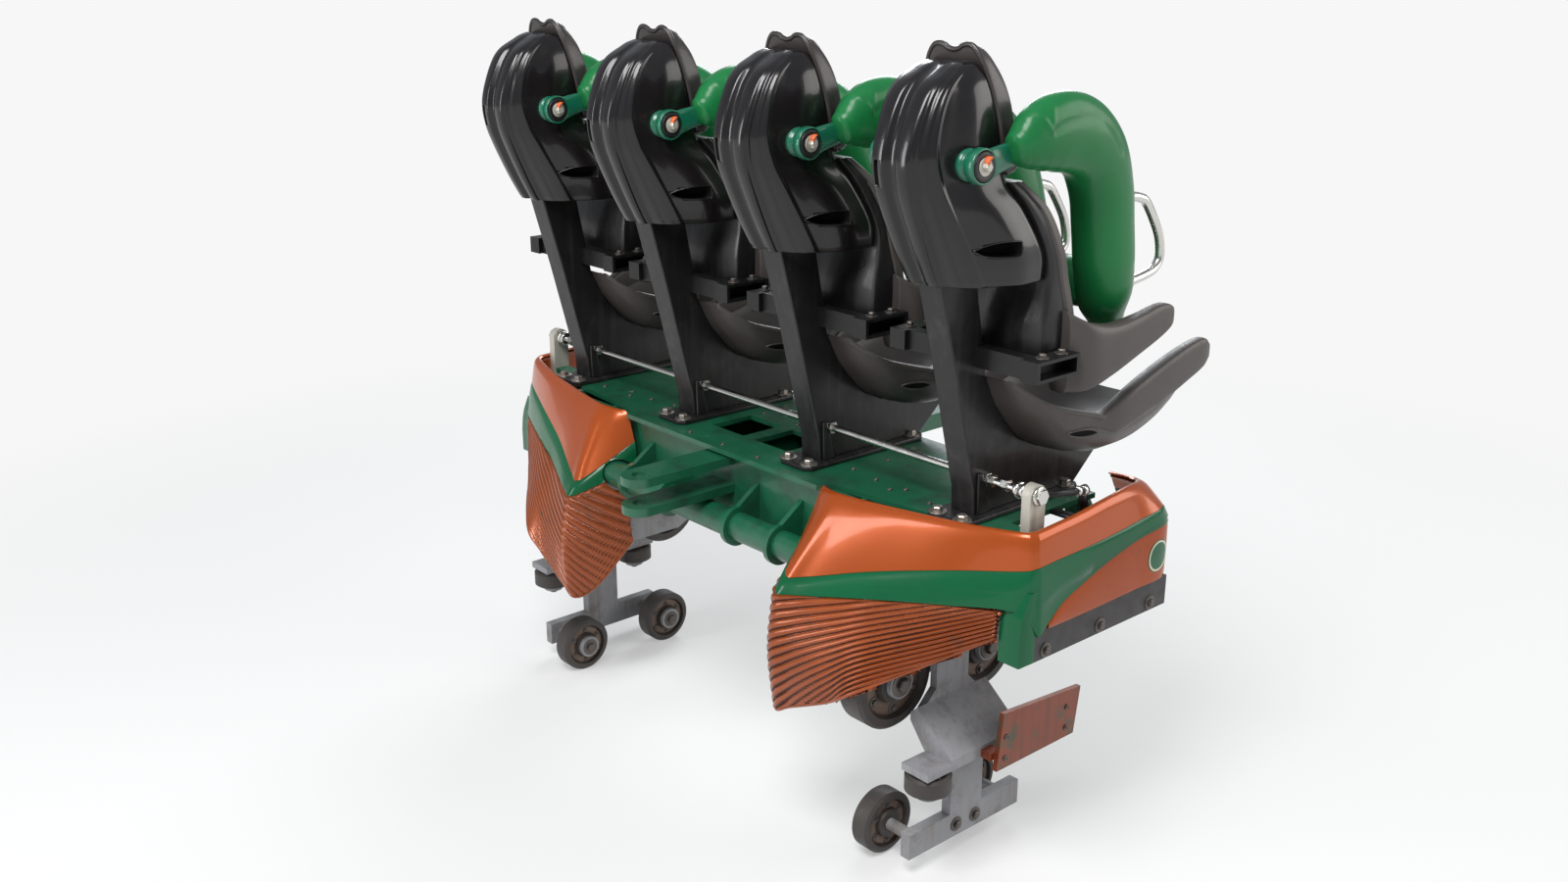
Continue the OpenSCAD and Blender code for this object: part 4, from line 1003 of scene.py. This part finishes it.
for side, y_sign in (("right", -1), ("left", 1)):
    first = side == "right"
    flip = np.array([1, -y_sign, 1])
    cap = skin(cap_face(stations), "cap_copper", flip)
    complete(f"cap_{side}", [cap], "cap_copper", "fairing_caps", first=first, edges=(0.004, 3, 50))

    band = skin(band_face(stations), "band_green", flip, TUBE_HOLE)
    tab = [[(x, y_sign * (FAIRING_HALF_W - w), z)
            for x, w in ((rear, 66), (rear, 4), (rear + 2, 2), (18, 1), (18, 13), (rear + 14, 14),
                         (rear + 14, 66))] for z, rear in TAB]
    complete(f"band_{side}", [band, loft(tab, "band_green")], "band_green", "fairing_bands",
             first=first, edges=(0.0025, 2, 50))

    ribs = skin(ribbed, "rib_copper", flip, TUBE_HOLE)
    # The faces between the rib lines get the darker copper as painted shade in the grooves
    paint(ribs, "rib_groove_painted_shade", lambda c: off_line(c * flip) > SHADED_GROOVE_LEVEL)
    rim = sweep(ribbed[:, -1] * flip, 5, "rib_copper", 10)
    complete(f"ribs_{side}", [ribs, rim], "rib_copper", "ribbed_panels", first=first)

    panel = skin(side_face, "side_copper", flip)
    plate = round_plate(surface(panel), y_sign)
    complete(f"panel_{side}", [panel], "side_copper", "side_panels", first=first,
             edges=(0.003, 2, 50))
    complete(f"round_plate_{side}", [plate], "band_green")

# Finish of the nodes that keep their own shape
for name, node in frame["nodes"].items():
    material = MATERIALS["cover_copper" if name == "carrier_covers" else SLOT_OF[name]]
    for slot in node.material_slots:
        slot.material = material
    if not node.material_slots:
        node.data.materials.append(material)

# Fasteners
for seat, y in SEATS:
    bolts = [bolt(spot(x, w, FLANGE_T, y), UP, 24, 12, "bolt_steel")
             for x in (0, 390) for w in (-40, 40)]
    complete(f"flange_bolts_{seat}", bolts, "bright_steel")
    bolts = [bolt(spot(x, w, 438, y), UP, 16, 9) for w in (-207, 207) for x in (60, 128)]
    complete(f"bracket_bolts_{seat}", bolts, "bracket_black")

bolts = [bolt(spot(x, s * 1074, -276), (0, s, 0), 19, 9) for s in SIDES for x in (78, 288, 494)]
complete("bar_bolts", bolts, "bar_steel")

# Small screws in the deck: x and distance inward from the outer seats, and the middle ones
DECK_SCREWS = [(75, 330), (49, 253), (79, 225), (50, 115), (330, 130), (330, 275), (330, 420),
               (210, 420), (90, 430)]
SUNK = -0.2
places = [spot(x, inward, SUNK, SEAT_Y[0]) for x, inward in DECK_SCREWS]
places += [spot(x, -inward, SUNK, SEAT_Y[-1]) for x, inward in DECK_SCREWS]
places += [spot(x, w, SUNK) for x in (-40, 240, 330) for w in (-150, 0, 150)]
complete("deck_screws", [screw(at, UP, 7.5) for at in places], "chassis_green")

# Rod ends beside the link bars, and the damper rod that runs forward from each one to a small
# upright behind the cap
LINK_Y = abs(SEAT_Y[0]) / MM + 190
LINK_COLLAR = [(10, 0), (22, 0), (23.5, 1.5), (23.5, 5), (22, 6.5), (10, 6.5)]
ROD_END = [(11, -7), (19, -7), (21, -4), (21, 4), (19, 7), (11, 7)]
CLAMP = [(8, -5), (12, -5), (13, -3), (13, 3), (12, 5), (8, 5)]
UPRIGHT = [(248, -20), (276, -20), (276, 78), (270, 84), (254, 84), (248, 78)]
FOOT = [(248, -12), (276, -12), (276, -3), (248, -3)]
for s, side in ((-1, "right"), (1, "left")):
    axis = (0, s, 0)
    parts = [turned(LINK_COLLAR, "bright_steel", spot(79, s * (LINK_Y + 14), 102), axis, 36)]
    parts += [turned(ROD_END, "bright_steel", spot(79, s * (LINK_Y + w), 102), axis, 30)
              for w in (-44, -26)]
    start, end = np.array([(92, s * (LINK_Y + 15), 101), (262, s * (LINK_Y + 15), 74)])
    parts.append(sweep([start, (start + end) / 2, end], 9, "bracket_black", 20))
    parts += [turned(CLAMP, "bright_steel", spot(*start + (end - start) * share), end - start, 28)
              for share in (0.78, 0.92)]
    parts.append(prism(UPRIGHT, s * (LINK_Y + 1), s * (LINK_Y + 9), "bracket_black"))
    parts.append(prism(FOOT, s * 900, s * (LINK_Y + 5), "bracket_black"))
    complete(f"rod_ends_{side}", parts, "bright_steel")

# Hubs: a plate in each wheel's dish on both sides, with a ring of bolts. Its profile is a share of
# the wheel's radius, and distance from the dish.
WHEEL_SIZE = {"road": (130, 90), "upstop": (85, 64), "guide": (60, 56)}
HUB = [(0.44, -1), (0.47, 1.5), (0.52, 2.5), (0.68, 2.5), (0.73, 1.2), (0.74, -1)]
HUB_BOLTS = 6
for name in frame["nodes"]:
    if "_wheel_" not in name:
        continue
    kind = name.split("_")[0]
    radius, width = WHEEL_SIZE[kind]
    dish = width * 0.3
    low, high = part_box(name)
    middle = (Vector(low) + Vector(high)) / 2
    axis = Vector(UP) if kind == "guide" else Vector((0, 1, 0))
    across = Vector((1, 0, 0))
    third = axis.cross(across)
    parts = []
    for s in SIDES:
        hub = [(radius * r, dish + h) for r, h in HUB]
        parts.append(turned(hub, "hub_brown", middle, axis * s, 48))
        for k in range(HUB_BOLTS):
            a = 2 * math.pi * (k + 0.5) / HUB_BOLTS
            at = middle + (across * math.cos(a) + third * math.sin(a)) * radius * 0.6 * MM
            parts.append(bolt(at + axis * s * (dish + 2.4) * MM, axis * s, radius * 0.11,
                              radius * 0.045))
    complete(f"hub_{name}", parts, "wheel_tread", body=name)

# Nuts on the retaining caps of the stub axles and bolts on the carriers' plates, in metres: x from
# the carrier's middle, y, z, the way they point, size across and height. Then screws on the covers.
CARRIER_X = POST_X + 0.080
CARRIER_NUTS = [
    (0.165, 0.760, 0.500, (1, 0), 34, 14), (0.165, 0.653, 0.085, (-1, 0), 26, 11),
    (0.165, 0.860, 0.227, (0, -1), 26, 9), (0.036, 0.845, 0.085, (1, 0), 20, 9)]
COVER_SCREWS = [(0.022, 0.302), (0.022, 0.362), (0.262, 0.302), (0.262, 0.362)]
bolts = []
for s in SIDES:
    for e in SIDES:
        bolts += [bolt((CARRIER_X + e * x, s * w, z), (0, s * out, up), across, height)
                  for x, w, z, (out, up), across, height in CARRIER_NUTS]
    bolts += [screw((CARRIER_X + x, s * 0.950, z), (0, s, 0), 8) for x, z in COVER_SCREWS]
complete("carrier_bolts", bolts, "carrier_grey")

# Stage, light and camera
CAMERA_AT = (-3.028, -3.0815, 2.233)
CAMERA_AIM = (-0.42, -0.10, 0.94)
CAMERA_LENS = 34.0
BACKDROP = 0.93
FLOOR_HALF = 30
# How far from the car the floor turns into the backdrop, in metres
FLOOR_NEAR, FLOOR_FAR = 1.6, 5.0


def aimed(name, data, at, aim):
    piece = linked(name, data)
    piece.location = at
    piece.rotation_euler = (Vector(aim) - Vector(at)).to_track_quat("-Z", "Y").to_euler()
    return piece


def emitter(name, at, aim, size, power, color=(1, 1, 1)):
    lamp = bpy.data.lights.new(name, "AREA")
    lamp.shape = "RECTANGLE"
    lamp.size, lamp.size_y = size
    lamp.energy = power
    lamp.color = color
    aimed(name, lamp, at, aim)


def math_node(tree, operation, a, b):
    node = add(tree, "Math", {0: a, 1: b})
    node.operation = operation
    return node.outputs[0]


def pale_floor():
    """Takes the car's shadow near it, and turns into the plain backdrop further out."""
    material, tree, shader = node_tree("floor_pale")
    wire(tree, shader, {"Base Color": (0.8, 0.8, 0.79, 1.0), "Roughness": 0.85,
                        "Specular IOR Level": 0.2})
    glow = add(tree, "Emission", {"Color": grey(BACKDROP)})
    length = add(tree, "VectorMath", {0: add(tree, "TexCoord", {}).outputs["Object"]})
    length.operation = "LENGTH"
    reach = add(tree, "MapRange", {"Value": length.outputs["Value"], "From Min": FLOOR_NEAR,
                                   "From Max": FLOOR_FAR, "To Min": 0.35, "To Max": 1.0})
    reach.interpolation_type = "SMOOTHSTEP"
    paths = add(tree, "LightPath", {}).outputs
    seen = math_node(tree, "MAXIMUM", paths["Is Camera Ray"], paths["Is Glossy Ray"])
    blend = add(tree, "MixShader", {
        "Fac": math_node(tree, "MULTIPLY", seen, reach.outputs["Result"]),
        1: shader.outputs["BSDF"], 2: glow.outputs["Emission"]})
    wire(tree, tree.nodes["Material Output"], {"Surface": blend.outputs["Shader"]})
    MATERIALS["floor_pale"] = material


pale_floor()
corners = [(-1, -1), (1, -1), (1, 1), (-1, 1)]
floor = new_part([(x * FLOOR_HALF, y * FLOOR_HALF, 0) for x, y in corners], [(0, 1, 2, 3)],
                 "floor_pale")
floor.name = "floor"

world = bpy.data.worlds.new("studio")
SCENE.world = world
world.use_nodes = True
tree = world.node_tree
background = tree.nodes["Background"]
wire(tree, background, {"Color": (0.78, 0.82, 0.88, 1.0), "Strength": 0.42})
backdrop = add(tree, "Background", {"Color": grey(BACKDROP), "Strength": 1.0})
blend = add(tree, "MixShader", {
    "Fac": add(tree, "LightPath", {}).outputs["Is Camera Ray"],
    1: background.outputs["Background"], 2: backdrop.outputs["Background"]})
wire(tree, tree.nodes["World Output"], {"Surface": blend.outputs["Shader"]})

emitter("key", (-3.2, -1.6, 5.2), (-0.4, 0, 1.0), (2.4, 2.4), 250)
emitter("side", (3.8, -4.4, 3.2), (-0.4, 0, 1.0), (4.5, 3.5), 150, (1.0, 0.97, 0.92))
emitter("rim", (3.5, 3.0, 4.0), (-0.4, 0, 1.2), (3.0, 2.0), 150, (0.93, 0.97, 1.0))
emitter("rear", (-5.5, 2.0, 2.4), (-0.4, 0, 1.1), (1.2, 2.8), 90)

camera_data = bpy.data.cameras.new("camera")
camera_data.lens = CAMERA_LENS
camera_data.sensor_width = 36.0
SCENE.camera = aimed("camera", camera_data, CAMERA_AT, CAMERA_AIM)
bpy.context.scene.view_settings.view_transform = "Standard"
